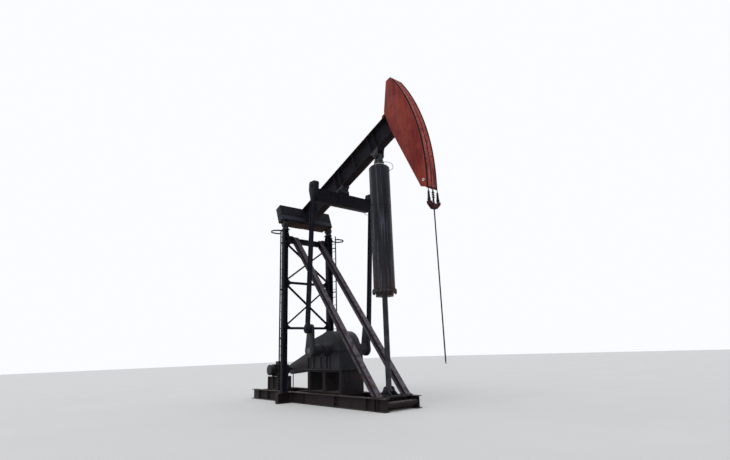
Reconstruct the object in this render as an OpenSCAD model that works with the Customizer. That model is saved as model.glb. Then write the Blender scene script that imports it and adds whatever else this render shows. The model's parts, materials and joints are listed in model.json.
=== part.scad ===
// Air-balanced oil well pumpjack: a long rear-pivoted walking beam, carried on a
// braced rear tower, lifts the polished rod with a round-faced horsehead.
// Origin: ground level under the tower, on the centre plane.
// +X runs towards the well, +Y to the left of the machine, +Z up.
// It is drawn at the top of its stroke, with the horsehead raised.

/* [Stroke and main layout] */
// Distance from the beam's pivot to the wirelines, also the horsehead's radius
well_radius = 6590; // [6200:10:7000]
// Height of the beam's pivot above the ground
pivot_z = 6400; // [6300:10:6600]
// Rise of the beam above level at the top of the stroke, in degrees
beam_rise = 20.5; // [18:0.5:22]
// Turn of the beam from the top to the bottom of the stroke, in degrees
beam_travel = 31.8; // [26:0.1:32]
// Crank shaft's place along X
crank_x = 1950; // [1850:10:2050]
// Crank shaft's height
crank_z = 1720; // [1680:10:1760]
// Air gap between pieces that are seated on each other
seat = 0.3; // [0.2:0.1:0.5]
// Radial clearance of a shaft in its bearing
run = 0.05; // [0.03:0.01:0.08]

/* [Skid] */
// Rear end of the skid rails along X
skid_x0 = -2950; // [-3200:50:-2800]
// Front end of the skid rails along X
skid_x1 = 4950; // [4850:50:5200]
// Distance of each rail from the centre plane
rail_y = 620; // [580:10:660]
// Depth of the skid's beams
rail_h = 350; // [300:10:380]
// Flange width of the skid's rails
rail_w = 200; // [180:5:220]
// Flange thickness of the skid's beams
rail_tf = 20; // [14:1:24]
// Web thickness of the skid's beams
rail_tw = 14; // [10:1:18]
// Flange width of the cross members between the rails
member_w = 160; // [140:5:180]
// Length of the outrigger under each tower post, from the centre plane
outrigger_y = 1250; // [1180:10:1350]
// Radius of the towing pipe across each end of the skid
tow_r = 84; // [70:1:100]
// Distance of the towing pipe's middle from the skid's end
tow_inset = 110; // [105:5:150]
// Radius of the foundation bolt holes
anchor_r = 16; // [12:1:20]
// Distance of the foundation bolts from the rail's end
anchor_inset = 100; // [90:5:130]

/* [Tower] */
// Spacing of the two tower posts
post_spacing = 1980; // [1900:10:2060]
// Side of the post's section
post_w = 180; // [160:5:200]
// Height of the post's top plate above the ground
post_top = 6200; // [6180:5:6220]
// Flange thickness of the posts and front legs
post_tf = 18; // [12:1:22]
// Web thickness of the posts and front legs
post_tw = 12; // [8:1:16]
// Thickness of the end plates of posts and legs
end_plate = 25; // [16:1:32]
// Thickness of the ribs and gusset plates
rib_t = 12; // [8:1:16]
// How far the post's cap stands out towards the middle
cap_over = 50; // [40:5:60]
// How far the end plates stand out round a post or leg
plate_over = 30; // [20:5:40]
// Height of the shelf on the gussets over the cross-beam
shelf_h = 90; // [70:5:110]
// Length of the shelf on the gussets, from the post
shelf_len = 250; // [220:10:280]
// Height of the gussets under the cross-beam
gusset_h = 170; // [140:5:180]
// Height of the top cross-beam's centre
cross_z = 5795; // [5760:5:5820]
// Depth of the top cross-beam
cross_h = 200; // [180:5:220]
// Flange thickness of the top cross-beam
cross_tf = 16; // [12:1:20]
// Web thickness of the top cross-beam and the horizontals
cross_tw = 10; // [8:1:14]
// Width of the top cross-beam
cross_w = 150; // [130:5:170]
// Height from which the tower's panels are spaced
panel_z = 5840; // [5800:10:5860]
// Spacing of the tower's horizontals
panel_h = 1650; // [1550:10:1700]
// Depth of the horizontals
tie_h = 84; // [70:2:100]
// Width of the horizontals
tie_w = 80; // [70:2:100]
// Leg of the angle bars in the tower's bracing
brace_leg = 62; // [55:1:80]
// Thickness of the angle bars in the tower's bracing
brace_t = 8; // [6:1:10]
// Distance of the bracing's ends from the middle of a horizontal
brace_inset = 110; // [100:5:130]
// Distance of the bracing's upper ends below the cross-beam
brace_drop = 70; // [60:5:90]
// Distance of the front legs from the centre plane
leg_y = 560; // [540:5:600]
// Side of the front leg's section
leg_w = 190; // [170:5:200]
// Distance along X from the tower to the foot of the front legs
leg_foot_x = 4480; // [4420:10:4600]
// Height at which the front legs meet the cross-beam
leg_top_z = 5860; // [5820:10:5900]

/* [Ladders] */
// Spacing of the ladder's rails
ladder_w = 250; // [230:10:320]
// Width of the ladder's flat rails
ladder_rail = 50; // [40:5:60]
// Thickness of the ladder's flat bars
ladder_t = 12; // [8:1:14]
// Spacing of the rungs
rung_pitch = 304.8; // [280:0.1:310]
// Radius of a rung
rung_r = 12; // [10:1:14]
// Number of rungs
rung_count = 18; // [14:1:18]
// Height of the top rung
rung_top_z = 5870; // [5800:10:5900]
// Height of the ladder's rails over the top rung
ladder_over = 300; // [260:10:300]
// Drop of the hoop below the top of the rails
hoop_drop = 140; // [100:10:180]
// Spacing of the ladder's brackets
bracket_pitch = 1750; // [1700:10:1800]
// Drop of the top bracket below the top rung
bracket_drop = 200; // [170:5:230]
// Height of a bracket
bracket_h = 40; // [35:5:50]
// Gap between the post and the ladder
ladder_gap = 65; // [60:5:100]
// Centre of the ladder along X
ladder_x = 120; // [100:5:130]
// Reach of the hoop at the ladder's top
hoop_reach = 450; // [400:10:480]
// Radius of the hoop's bend
hoop_r = 225; // [200:5:250]

/* [Walking beam] */
// Depth of the walking beam
beam_h = 750; // [700:10:780]
// Flange width of the walking beam
beam_w = 300; // [280:10:320]
// Flange thickness of the walking beam
beam_tf = 32; // [24:1:36]
// Web thickness of the walking beam
beam_tw = 20; // [14:1:24]
// Height of the beam's underside above the pivot, square to the beam
beam_v0 = 50; // [45:1:60]
// Length along the beam from the pivot to the horsehead's back
beam_u1 = 5600; // [5500:10:5650]
// Reach of the cross box beyond the middle of each post
box_over = 160; // [140:5:175]
// Width of the cross box along the beam
box_w = 320; // [300:10:340]
// Front face of the cross box along the beam, from the pivot
box_u1 = 135; // [130:1:140]
// Gap along the cross box between the lugs and its deeper middle
deep_gap = 45; // [35:5:60]
// Height of the cross box's ends above the pivot
box_v0 = 150; // [145:1:160]
// Radius of the shaft in each post bearing
saddle_r = 60; // [50:1:65]
// Outer radius of the post bearing's housing
saddle_housing_r = 115; // [105:1:120]
// Thickness of the foot of the post bearing
saddle_foot_t = 35; // [30:1:38]
// Half width of the foot of the post bearing
saddle_foot = 140; // [130:5:150]
// Radius of the lugs that hang the cross box on its shafts
saddle_lug_r = 118; // [100:1:125]
// Half length of the post bearing along its shaft
saddle_half = 55; // [50:1:60]
// Gap between the post bearing and the lugs beside it
lug_gap = 20; // [15:1:25]
// Thickness of those lugs
lug_t = 20; // [16:1:24]
// Height of the doubler plate along the cross box's front
doubler_h = 190; // [160:10:220]
// Thickness of the stiffeners in the walking beam
stiffener_t = 16; // [12:1:20]

/* [Horsehead] */
// Half width of the horsehead
head_half = 220; // [210:5:235]
// Thickness of the horsehead's plates
head_t = 14; // [10:1:18]
// Thickness of the face plate that the wirelines lie on
face_t = 16; // [12:1:20]
// Lower end of the face, in degrees from the beam's line
head_low = -23.5; // [-24:0.1:-22.5]
// Upper end of the face, in degrees from the beam's line
head_high = 15.5; // [14:0.5:18]
// Radius of the lifting hole near the horsehead's lower end
head_hole_r = 28; // [20:1:32]
// How far the side plates stand out past the horsehead's edge plates
head_lip = 35; // [25:5:50]
// Radius of the pin that the horsehead hangs on
head_pin_r = 30; // [25:1:34]
// Reach of the hanger ears back over the walking beam
ear_len = 260; // [240:10:300]
// Height of the hanger ears over the walking beam
ear_h = 100; // [80:5:110]
// Radius of the wireline
rope_r = 14; // [12:1:16]
// Distance of each wireline from the centre plane
rope_y = 185; // [170:5:190]

/* [Carrier and polished rod] */
// Height of the carrier bar's top
carrier_z = 5690; // [5650:10:5720]
// Height of the carrier bar
carrier_h = 240; // [200:10:260]
// Thickness of the carrier bar
carrier_t = 120; // [100:5:140]
// Radius of the sockets at the wirelines' ends
socket_r = 34; // [30:1:38]
// Radius of the polished rod
rod_r = 19; // [16:1:22]
// Radius of the threaded pin at the rod's lower end
rod_pin_r = 15; // [12:1:15]
// Length of the threaded pin at the rod's lower end
rod_pin_len = 60; // [40:5:80]
// Height of the polished rod's lower end, where it would enter the well
rod_end_z = 1250; // [1100:10:1400]
// Height of the polished rod's upper end
rod_top_z = 6030; // [5990:5:6035]
// Number of clamps on the rod above the carrier bar
clamp_count = 5; // [2:1:5]
// Radius of a rod clamp
clamp_r = 28; // [26:1:34]
// Height of a rod clamp
clamp_h = 70; // [60:1:76]

/* [Equalizer and pitmans] */
// Distance of the equalizer's shaft from the pivot, along the beam
eq_u = 2500; // [2450:10:2560]
// Height of the equalizer's shaft over the pivot, square to the beam
eq_v = -100; // [-110:1:-95]
// Radius of the equalizer's shaft
eq_r = 50; // [40:1:55]
// Outer radius of the equalizer's bearing housing
eq_housing_r = 88; // [80:1:95]
// Half length of the equalizer's bearing along its shaft
eq_bearing_half = 150; // [140:5:160]
// Distance of each pitman from the centre plane
pitman_y = 1285; // [1270:5:1300]
// Width of a pitman
pitman_w = 140; // [120:5:160]
// Thickness of a pitman
pitman_t = 110; // [100:5:120]
// Depth of the equalizer
eq_h = 455; // [400:5:480]
// Width of the equalizer
eq_w = 260; // [220:10:300]
// Half width of the head on a pitman
pitman_head_w = 185; // [170:5:190]
// Height of the pitman's head over the equalizer's shaft
pitman_head_h = 150; // [140:5:165]
// Length of the taper from the pitman's head down to its bar
pitman_taper = 470; // [420:10:520]
// How far the pitman's head stands in towards the equalizer
head_in = 60; // [50:5:70]
// Gap between the equalizer's bearing and the equalizer under it
eq_gap = 10; // [8:1:14]
// Half width of the foot of the equalizer's bearing
eq_foot = 230; // [210:5:250]
// Thickness of the bearing feet under the walking beam
bearing_foot_t = 60; // [50:5:70]

/* [Gear reducer and cranks] */
// Half width of the reducer's housing
reducer_half = 440; // [400:5:450]
// How far the reducer's flanges stand out from its walls
reducer_flange = 45; // [35:5:50]
// Rear end of the reducer along X
reducer_x0 = 620; // [600:10:640]
// Front end of the reducer along X
reducer_x1 = 2720; // [2680:10:2740]
// Height of the reducer's foot
reducer_z0 = 1080; // [1060:10:1100]
// Height of the reducer's top over the slow shaft
reducer_z1 = 2330; // [2300:10:2360]
// Distance of the pedestal's ends inside the reducer's
ped_inset = 60; // [50:5:80]
// Width of the pedestal's posts
ped_post = 160; // [140:10:190]
// Thickness of the pedestal's top and bottom
ped_flange = 60; // [50:5:80]
// Radius of the slow shaft
slow_r = 95; // [80:1:105]
// Radius of the slow shaft's bearing housings
slow_boss_r = 200; // [180:5:205]
// Radius of the case round the fast shaft
fast_case_r = 400; // [380:5:410]
// Distance from the slow shaft back to the fast shaft
gear_run = 850; // [800:10:900]
// Length of the slow shaft's bearing housings past the reducer's walls
slow_boss = 250; // [200:10:280]
// Radius of the fast shaft
fast_r = 45; // [40:1:50]
// Radius of the brake drum
brake_r = 190; // [170:5:210]
// Width of the brake drum
brake_w = 110; // [90:5:130]
// Thickness of a crank arm
crank_t = 110; // [100:5:120]
// Width of a crank arm at its pin
crank_w = 300; // [260:10:340]
// Radius of a crank arm round the slow shaft
crank_hub_r = 230; // [210:5:250]
// Length of a crank's hub towards the reducer
hub_len = 300; // [200:10:400]
// Radius of a wrist pin
wrist_r = 55; // [45:1:60]
// Gap between a crank's pin and the pitman's wrist bearing
wrist_gap = 8; // [6:1:12]
// Outer radius of the wrist bearing
wrist_housing_r = 150; // [135:5:165]

/* [Belt drive] */
// Radius of the large sheave
sheave_r = 520; // [480:10:540]
// Radius of the motor's sheave
motor_sheave_r = 130; // [110:5:150]
// Number of belts
belt_count = 4; // [3:1:5]
// Spacing of the belts
belt_pitch = 26; // [24:1:30]
// Width of a belt
belt_w = 20; // [18:1:21]
// Belt's depth
belt_d = 14; // [12:1:18]
// Middle of the belts from the centre plane
belt_y = 620; // [600:5:640]
// Motor shaft's place along X
motor_x = -2050; // [-2150:10:-1950]
// Motor shaft's height
motor_z = 1060; // [1020:10:1100]
// Radius of the motor's body
motor_r = 210; // [190:5:220]
// Half length of the motor's body
motor_half = 330; // [300:10:350]
// Height of the fins on the motor's body
fin_h = 22; // [16:1:26]
// Thickness of a fin
fin_t = 6; // [5:0.5:7]
// Radius of the motor's shaft
motor_shaft_r = 30; // [24:1:34]
// Height of the motor's shaft over its feet
motor_rise = 250; // [240:5:270]
// Number of cooling fins round the motor
motor_fins = 40; // [28:4:48]
// Length of the rails under the motor
motor_rail_len = 840; // [780:20:900]
// Spacing of the rails under the motor
motor_rail_gap = 460; // [440:10:500]
// Gap between the belts' outside and the rim of their guard
guard_gap = 67; // [60:1:80]
// Gap between the belts and the guard's wall towards the machine
guard_in = 25; // [15:1:26]
// Gap between the belts and the guard's outer wall
guard_out = 60; // [50:5:80]
// Thickness of the belt guard's sheet
guard_t = 3; // [2:1:5]

/* [Air tank] */
// Distance of the tank's top pin from the pivot, along the beam
tank_u = 4600; // [4550:10:4650]
// Height of the tank's top pin over the pivot, square to the beam
tank_v = -125; // [-135:1:-115]
// Radius of the tank
tank_r = 335; // [300:5:340]
// Wall of the tank
tank_wall = 14; // [10:1:20]
// Drop from the top pin to the tank's shoulder
tank_drop = 370; // [350:5:400]
// Radius of the tank's rounded shoulder
dome_r = 90; // [70:5:110]
// Radius of the neck on top of the tank
neck_r = 150; // [130:5:160]
// Thickness of the tank bearing's foot under the walking beam
tank_foot_t = 30; // [25:1:40]
// Outer radius of the ears round the tank's top pin
tank_ear_r = 110; // [100:1:120]
// Height of the tank's lower end at the top of the stroke
tank_z0 = 3230; // [3200:10:3280]
// Height of the tank's lower head, up to the shell
bottom_h = 200; // [180:5:220]
// Thickness of the bolted ring at the tank's lower end
ring_t = 90; // [70:5:100]
// How far that ring stands out past the tank's shell
ring_over = 45; // [40:1:50]
// Number of bolts in that ring
ring_bolts = 16; // [12:2:20]
// Radius of the tank's top pin
tank_pin_r = 55; // [45:1:60]
// Radius of the piston rod
piston_rod_r = 84; // [75:1:90]
// Height of the piston rod's foot pivot
foot_z = 500; // [490:5:520]
// Radius of the eye at the piston rod's foot
foot_eye_r = 95; // [85:1:100]
// Spacing of the members under the piston rod's foot
foot_span = 500; // [460:10:520]

/* [Hidden] */

black = [0.09, 0.09, 0.10];
steel = [0.45, 0.45, 0.47];
red_brown = [0.46, 0.13, 0.09];
dark_red = [0.22, 0.10, 0.08];
rubber = [0.05, 0.05, 0.05];

base_top = rail_h;
post_y = post_spacing / 2;
post_in = post_y - post_w / 2 - seat;
cap_z = post_top - end_plate;
cross_low = cross_z - cross_h / 2;
cross_top = cross_z + cross_h / 2;
lug_half = saddle_half + lug_gap + lug_t;
box_u0 = box_u1 - box_w;
box_half = post_y + box_over;
deep_half = post_y - lug_half - deep_gap;
beam_v1 = beam_v0 + beam_h;
ped_x0 = reducer_x0 + ped_inset;
ped_x1 = reducer_x1 - ped_inset;

// Points given along and square to the beam, turned into X and Z of the machine
function beam_x(u, v) = u * cos(beam_rise) - v * sin(beam_rise);
function beam_z(u, v) = pivot_z + u * sin(beam_rise) + v * cos(beam_rise);

// The same points at the bottom of the stroke
function low_x(u, v) = u * cos(beam_rise - beam_travel) - v * sin(beam_rise - beam_travel);
function low_z(u, v) = pivot_z + u * sin(beam_rise - beam_travel) + v * cos(beam_rise - beam_travel);

// The crank's throw and the pitman's length follow from the beam's two end positions
eq_x = beam_x(eq_u, eq_v);
eq_z = beam_z(eq_u, eq_v);
reach_top = norm([eq_x - crank_x, eq_z - crank_z]);
reach_low = norm([low_x(eq_u, eq_v) - crank_x, low_z(eq_u, eq_v) - crank_z]);
crank_throw = (reach_top - reach_low) / 2;
pitman_len = (reach_top + reach_low) / 2;
pitman_lean = atan2(eq_x - crank_x, eq_z - crank_z);
crank_y = pitman_y - pitman_t / 2 - wrist_gap;

tank_x = beam_x(tank_u, tank_v);
tank_pin_z = beam_z(tank_u, tank_v);
fast_x = crank_x - gear_run;
belts_half = belt_count * belt_pitch / 2;
face_r = well_radius - rope_r - seat;
face_low = face_r * [cos(head_low), sin(head_low)];
face_high = face_r * [cos(head_high), sin(head_high)];

// Each cross member stands under what it carries
member_xs = [motor_x - motor_rail_len / 2 + member_w / 2, motor_x + motor_rail_len / 2 - member_w / 2,
    ped_x0 + member_w / 2, ped_x1 - member_w / 2, tank_x - foot_span / 2, tank_x + foot_span / 2];

// Puts its children in the beam's own frame: X along the beam, Z square to it
module on_beam() {
    translate([0, 0, pivot_z]) rotate([0, -beam_rise, 0]) children();
}

// Puts its children in the equalizer's frame, hanging from its shaft
module on_equalizer() {
    translate([eq_x, 0, eq_z]) rotate([0, pitman_lean, 0]) children();
}

// Puts its children in the crank's frame, with the arm pointing up Z
module on_crank() {
    translate([crank_x, 0, crank_z]) rotate([0, pitman_lean, 0]) children();
}

// Mirrors its children to the right side of the machine where side is -1
module on_side(side) {
    mirror([0, side < 0 ? 1 : 0, 0]) children();
}

module box(x0, x1, y0, y1, z0, z1) {
    translate([x0, y0, z0]) cube([x1 - x0, y1 - y0, z1 - z0]);
}

// Shaft along Y between y0 and y1
module shaft(r, y0, y1, x = 0, z = 0) {
    translate([x, y1, z]) rotate([90, 0, 0]) cylinder(h = y1 - y0, r = r, $fn = 64);
}

// Plate with an outline in X and Z, between y0 and y1
module side_plate(y0, y1) {
    translate([0, y1, 0]) rotate([90, 0, 0]) linear_extrude(y1 - y0) children();
}

// Plate with an outline in Y and Z, centred on X = 0
module tower_plate(t) {
    translate([-t / 2, 0, 0]) rotate([90, 0, 90]) linear_extrude(t) children();
}

// Section of a rolled beam, centred, its depth along the second axis
module i_section(depth, width, tf, tw) {
    difference() {
        square([width, depth], center = true);
        for (side = [-1, 1])
            translate([side * width / 2, 0]) square([width - tw, depth - 2 * tf], center = true);
    }
}

// Rolled beam along X from x0 to x1, standing on z0
module beam_along_x(x0, x1, y, z0, depth, width, tf, tw) {
    translate([x0, y, z0 + depth / 2]) rotate([90, 0, 90])
        linear_extrude(x1 - x0) i_section(depth, width, tf, tw);
}

// Rolled beam along Y from y0 to y1, standing on z0
module beam_along_y(x, y0, y1, z0, depth, width, tf, tw) {
    translate([x, y1, z0 + depth / 2]) rotate([90, 0, 0])
        linear_extrude(y1 - y0) i_section(depth, width, tf, tw);
}

// Angle bar beside the gussets in the tower's plane, between two points [y, z]
module brace(a, b, side) {
    d = b - a;
    len = norm(d);
    x0 = rib_t / 2 + seat;
    edge = brace_leg / 2;
    translate([0, a.x, a.y]) rotate([atan2(d.y, d.x), 0, 0])
        mirror([side < 0 ? 1 : 0, 0, 0]) {
            box(x0, x0 + brace_t, 0, len, -edge, edge);
            box(x0, x0 + brace_leg, 0, len, edge - brace_t, edge);
        }
}

module skid_rails() {
    bolt_y = rail_y + rail_w / 4;
    color(black)
    difference() {
        for (side = [-1, 1])
            on_side(side) {
                beam_along_x(skid_x0, skid_x1, rail_y, 0, rail_h, rail_w, rail_tf, rail_tw);
                for (x = concat(member_xs, [0, leg_foot_x]))
                    box(x - rib_t / 2, x + rib_t / 2, rail_y, rail_y + rail_w / 2 - rib_t,
                        rail_tf / 2, rail_h - rail_tf / 2);
            }
        for (side = [-1, 1], x = [skid_x0 + anchor_inset, skid_x1 - anchor_inset])
            translate([x, side * bolt_y, -1]) cylinder(h = rail_tf + 2, r = anchor_r, $fn = 32);
    }
}

module skid_cross_members() {
    inner = rail_y - rail_w / 2 - seat;
    web = rail_y - rail_tw / 2 - seat;
    color(black) {
        for (x = member_xs)
            beam_along_y(x, -inner, inner, 0, rail_h, member_w, rail_tf, rail_tw);
        for (x = [skid_x0 + tow_inset, skid_x1 - tow_inset])
            shaft(tow_r, -web, web, x, rail_h / 2);
        beam_along_y(0, -inner, inner, 0, rail_h, rail_w, rail_tf, rail_tw);
        for (side = [-1, 1])
            on_side(side) {
                beam_along_y(0, rail_y + rail_w / 2 + seat, outrigger_y, 0, rail_h, rail_w, rail_tf, rail_tw);
                box(-rail_w / 2, rail_w / 2, outrigger_y - rail_tw, outrigger_y, 0, rail_h);
            }
    }
}

module tower_post(side) {
    plate = post_w / 2 + plate_over;
    z0 = base_top + seat;
    rib = post_w / 2 - 4;
    color(black)
    on_side(side) translate([0, post_y, 0]) {
        translate([0, 0, z0 + end_plate / 2])
            linear_extrude(cap_z - z0) i_section(post_w, post_w, post_tf, post_tw);
        box(-plate, plate, -plate, plate, z0, z0 + end_plate);
        box(-plate, plate, -post_w / 2 - cap_over, post_w / 2 + plate_over / 3, cap_z, post_top);
        for (z = [cross_low, cross_top, panel_z - panel_h, panel_z - 2 * panel_h])
            box(-rib, rib, -rib, rib, z - rib_t / 2, z + rib_t / 2);
    }
}

module tower_cross_beam() {
    shelf_z = cross_top + shelf_h;
    color(black) {
        beam_along_y(0, -post_in, post_in, cross_low, cross_h, cross_w, cross_tf, cross_tw);
        for (side = [-1, 1])
            on_side(side) {
                tower_plate(rib_t)
                    polygon([[post_in, cap_z - seat], [post_in - cap_over, cap_z - seat],
                        [post_in - shelf_h, shelf_z], [post_in - shelf_len, shelf_z],
                        [post_in - shelf_len - shelf_h, cross_top - 1], [post_in, cross_top - 1]]);
                tower_plate(rib_t)
                    polygon([[post_in, cross_low + 1], [post_in - gusset_h, cross_low + 1],
                        [post_in, cross_low - gusset_h]]);
                for (y = [leg_y - leg_w / 2, leg_y, leg_y + leg_w / 2])
                    box(2 - cross_w / 2, cross_w / 2 - 2, y - rib_t / 2, y + rib_t / 2,
                        cross_low + cross_tf / 2, cross_top - cross_tf / 2);
            }
    }
}

module tower_horizontals() {
    gusset = brace_inset + brace_leg;
    color(black)
    for (k = [1, 2]) {
        z = panel_z - k * panel_h;
        beam_along_y(0, -post_in, post_in, z - tie_h / 2, tie_h, tie_w, cross_tw, cross_tw);
        for (side = [-1, 1], up = k == 1 ? [-1, 1] : [1])
            on_side(side) tower_plate(rib_t)
                polygon([[post_in, z + up * (tie_h / 2 - 1)], [post_in - gusset, z + up * (tie_h / 2 - 1)],
                    [post_in, z + up * gusset]]);
    }
}

module tower_braces() {
    over = 200;
    color(black)
    for (k = [0, 1]) {
        top = k == 0 ? cross_low - brace_drop : panel_z - panel_h - brace_inset;
        low = panel_z - (k + 1) * panel_h + brace_inset;
        mid = (top + low) / 2;
        slope = (top - low) / (2 * post_in);
        for (side = [-1, 1])
            intersection() {
                brace([-side * (post_in + over), top + slope * over],
                    [side * (post_in + over), low - slope * over], side);
                box(-over, over, -post_in, post_in, low - over, top + over);
            }
        tower_plate(rib_t)
            translate([0, mid]) rotate(45) square(brace_leg * 1.3, center = true);
    }
}

module front_leg(side) {
    tilt = atan2(leg_foot_x, leg_top_z - base_top);
    len = norm([leg_foot_x, leg_top_z - base_top]);
    over = 2 * leg_w;
    face_x = cross_w / 2 + seat;
    z0 = base_top + seat;
    rim = leg_w / 2 + plate_over / 2;
    head_z = leg_top_z - face_x / tan(tilt);
    head = leg_w / 2 / sin(tilt) + plate_over / 2;
    foot = leg_w / 2 / cos(tilt) + 2 * plate_over;
    color(black)
    on_side(side) translate([0, leg_y, 0]) {
        intersection() {
            translate([leg_foot_x, 0, base_top]) rotate([0, -tilt, 0]) translate([0, 0, -over])
                linear_extrude(len + 2 * over) rotate(90) i_section(leg_w, leg_w, post_tf, post_tw);
            box(face_x + 1, leg_foot_x + foot, -leg_w, leg_w, z0 + 1, leg_top_z + over);
        }
        box(face_x, face_x + rib_t, -rim, rim, head_z - head, head_z + head);
        box(leg_foot_x - foot, leg_foot_x + foot, -rim, rim, z0, z0 + end_plate);
    }
}

module post_bearing(side) {
    z0 = post_top + seat;
    ear = saddle_housing_r + 30;
    color(black)
    on_side(side) translate([0, post_y, 0])
    difference() {
        union() {
            box(-saddle_foot, saddle_foot, -saddle_half - 20, saddle_half + 20, z0, z0 + saddle_foot_t);
            side_plate(-saddle_half, saddle_half)
                polygon([[-saddle_foot + 20, z0 + 1], [saddle_foot - 20, z0 + 1], [saddle_r + 20, pivot_z],
                    [-saddle_r - 20, pivot_z]]);
            shaft(saddle_housing_r, -saddle_half, saddle_half, 0, pivot_z);
            for (z = [pivot_z - 26, pivot_z + 2])
                box(-ear, ear, -saddle_half + 15, saddle_half - 15, z, z + 24);
        }
        shaft(saddle_r + run, -2 * saddle_half, 2 * saddle_half, 0, pivot_z);
    }
}

// Its bars, rungs and brackets are separate pieces of flat and round bar
module ladder(side) {
    face = post_y + post_w / 2 + seat;
    y0 = face + ladder_gap;
    edge_x = ladder_w / 2;
    rung = edge_x - ladder_t / 2 - seat;
    bottom = rung_top_z - (rung_count - 1) * rung_pitch - rung_pitch / 2;
    top = rung_top_z + ladder_over;
    hoop_y = y0 + ladder_rail + seat;
    color(black)
    on_side(side) translate([ladder_x, 0, 0]) {
        for (edge = [-edge_x, edge_x])
            box(edge - ladder_t / 2, edge + ladder_t / 2, y0, y0 + ladder_rail, bottom, top);
        for (k = [0 : rung_count - 1])
            translate([-rung, y0 + ladder_rail / 2, rung_top_z - k * rung_pitch])
                rotate([0, 90, 0]) cylinder(h = 2 * rung, r = rung_r, $fn = 6);
        for (k = [0 : 2])
            translate([0, 0, rung_top_z - bracket_drop - k * bracket_pitch - bracket_h / 2]) {
                box(-ladder_x - post_w / 2, edge_x + ladder_t / 2, face, face + ladder_t, 0, bracket_h);
                for (edge = [-edge_x, edge_x])
                    box(edge - ladder_t / 2, edge + ladder_t / 2, face + 1, y0 - seat, 0, bracket_h);
            }
        translate([0, hoop_y, top - hoop_drop - ladder_rail / 2])
            linear_extrude(ladder_rail) hoop_outline(hoop_reach - ladder_rail / 2 - seat - hoop_r);
    }
}

// Flat bar bent to a U, with a bar across its ends
module hoop_outline(straight) {
    in_r = hoop_r - ladder_t;
    difference() {
        union() {
            translate([-hoop_r, 0]) square([2 * hoop_r, straight]);
            translate([0, straight]) circle(hoop_r, $fn = 48);
        }
        translate([-in_r, ladder_t]) square([2 * in_r, straight - ladder_t]);
        translate([0, straight]) circle(in_r, $fn = 48);
        translate([-hoop_r - 1, -2 * hoop_r]) square([2 * hoop_r + 2, 2 * hoop_r]);
    }
}

module reducer_pedestal() {
    z0 = base_top + seat;
    window = (ped_x1 - ped_x0 - 3 * ped_post) / 2;
    color(black)
    difference() {
        box(ped_x0, ped_x1, -reducer_half, reducer_half, z0, reducer_z0);
        for (k = [0, 1])
            translate([ped_x0 + ped_post + k * (window + ped_post), 0, 0])
                box(0, window, -reducer_half - 1, reducer_half + 1, z0 + ped_flange, reducer_z0 - ped_flange);
    }
}

module gear_reducer() {
    rim = reducer_half + reducer_flange;
    z0 = reducer_z0 + seat;
    split = 35;
    mid_x = (crank_x + fast_x) / 2;
    boss = reducer_half + slow_boss;
    rise = atan2(reducer_z1 - crank_z - fast_case_r, gear_run);
    color(black)
    difference() {
        union() {
            side_plate(-reducer_half, reducer_half) reducer_outline();
            box(reducer_x0, reducer_x1, -rim, rim, z0, z0 + split);
            box(reducer_x0 + ped_inset / 2, reducer_x1 - ped_inset / 2, -rim, rim, crank_z - split, crank_z + split);
            for (x = [reducer_x0 + 2 * ped_inset, fast_x, mid_x, crank_x - slow_r, crank_x + slow_r,
                    reducer_x1 - 2 * ped_inset])
                box(x - rib_t / 2, x + rib_t / 2, rib_t - rim, rim - rib_t, z0 + 1, crank_z);
            shaft(slow_boss_r, -boss, boss, crank_x, crank_z);
            shaft(slow_boss_r * 0.7, -rim - 10, rim + 10, mid_x, crank_z);
            shaft(fast_r + 75, -rim - 10, rim + 10, fast_x, crank_z);
            shaft(fast_r, -belt_y - brake_w, belt_y + belts_half + guard_in, fast_x, crank_z);
            translate([fast_x, 0, crank_z + fast_case_r]) rotate([0, -rise, 0])
                box(gear_run * 0.25, gear_run * 0.75, -reducer_half / 2, reducer_half / 2, -20, 20);
        }
        shaft(slow_r + run, -2 * boss, 2 * boss, crank_x, crank_z);
    }
}

// Case round both gears, with a flat bottom
module reducer_outline() {
    translate([ped_x0, reducer_z0 + 20]) square([ped_x1 - ped_x0, crank_z - reducer_z0]);
    translate([crank_x, crank_z]) circle(reducer_z1 - crank_z, $fn = 64);
    translate([fast_x, crank_z]) circle(fast_case_r, $fn = 64);
    polygon([[fast_x, crank_z], [fast_x, crank_z + fast_case_r], [crank_x, reducer_z1], [crank_x, crank_z]]);
}

// Arc of n facets, each of them touching the circle of radius r from outside
function round_arc(centre, r, a0, a1, n) =
    let (step = (a1 - a0) / n)
    concat([centre + r * [cos(a0), sin(a0)]],
        [for (i = [0.5 : n]) centre + r / cos(step / 2) * [cos(a0 + i * step), sin(a0 + i * step)]],
        [centre + r * [cos(a1), sin(a1)]]);

// Side view of the belts round both sheaves, grown by d
module belt_loop(d) {
    run_x = fast_x - motor_x;
    run_z = crank_z - motor_z;
    wrap = asin((sheave_r - motor_sheave_r) / norm([run_x, run_z]));
    line = atan2(run_z, run_x);
    polygon(concat(
        round_arc([fast_x, crank_z], sheave_r + d, line - 90 - wrap, line + 90 + wrap, 24),
        round_arc([motor_x, motor_z], motor_sheave_r + d, line + 90 + wrap, line + 270 - wrap, 16)));
}

// Middle of belt k along Y
function belt_mid(k) = belt_y - belts_half + (k + 0.5) * belt_pitch;

// Rim with a groove for each belt, round a shaft at x and z
module grooved_rim(r, bore, x, z) {
    bed = r - belt_d - seat;
    land = r - belt_d / 4;
    translate([x, 0, z]) rotate([-90, 0, 0]) rotate_extrude($fn = 96)
        difference() {
            translate([bore, belt_y - belts_half - 5]) square([land - bore, 2 * belts_half + 10]);
            for (k = [0 : belt_count - 1])
                translate([bed, belt_mid(k) - belt_w / 2 - seat]) square([belt_d, belt_w + 2 * seat]);
        }
}

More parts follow.
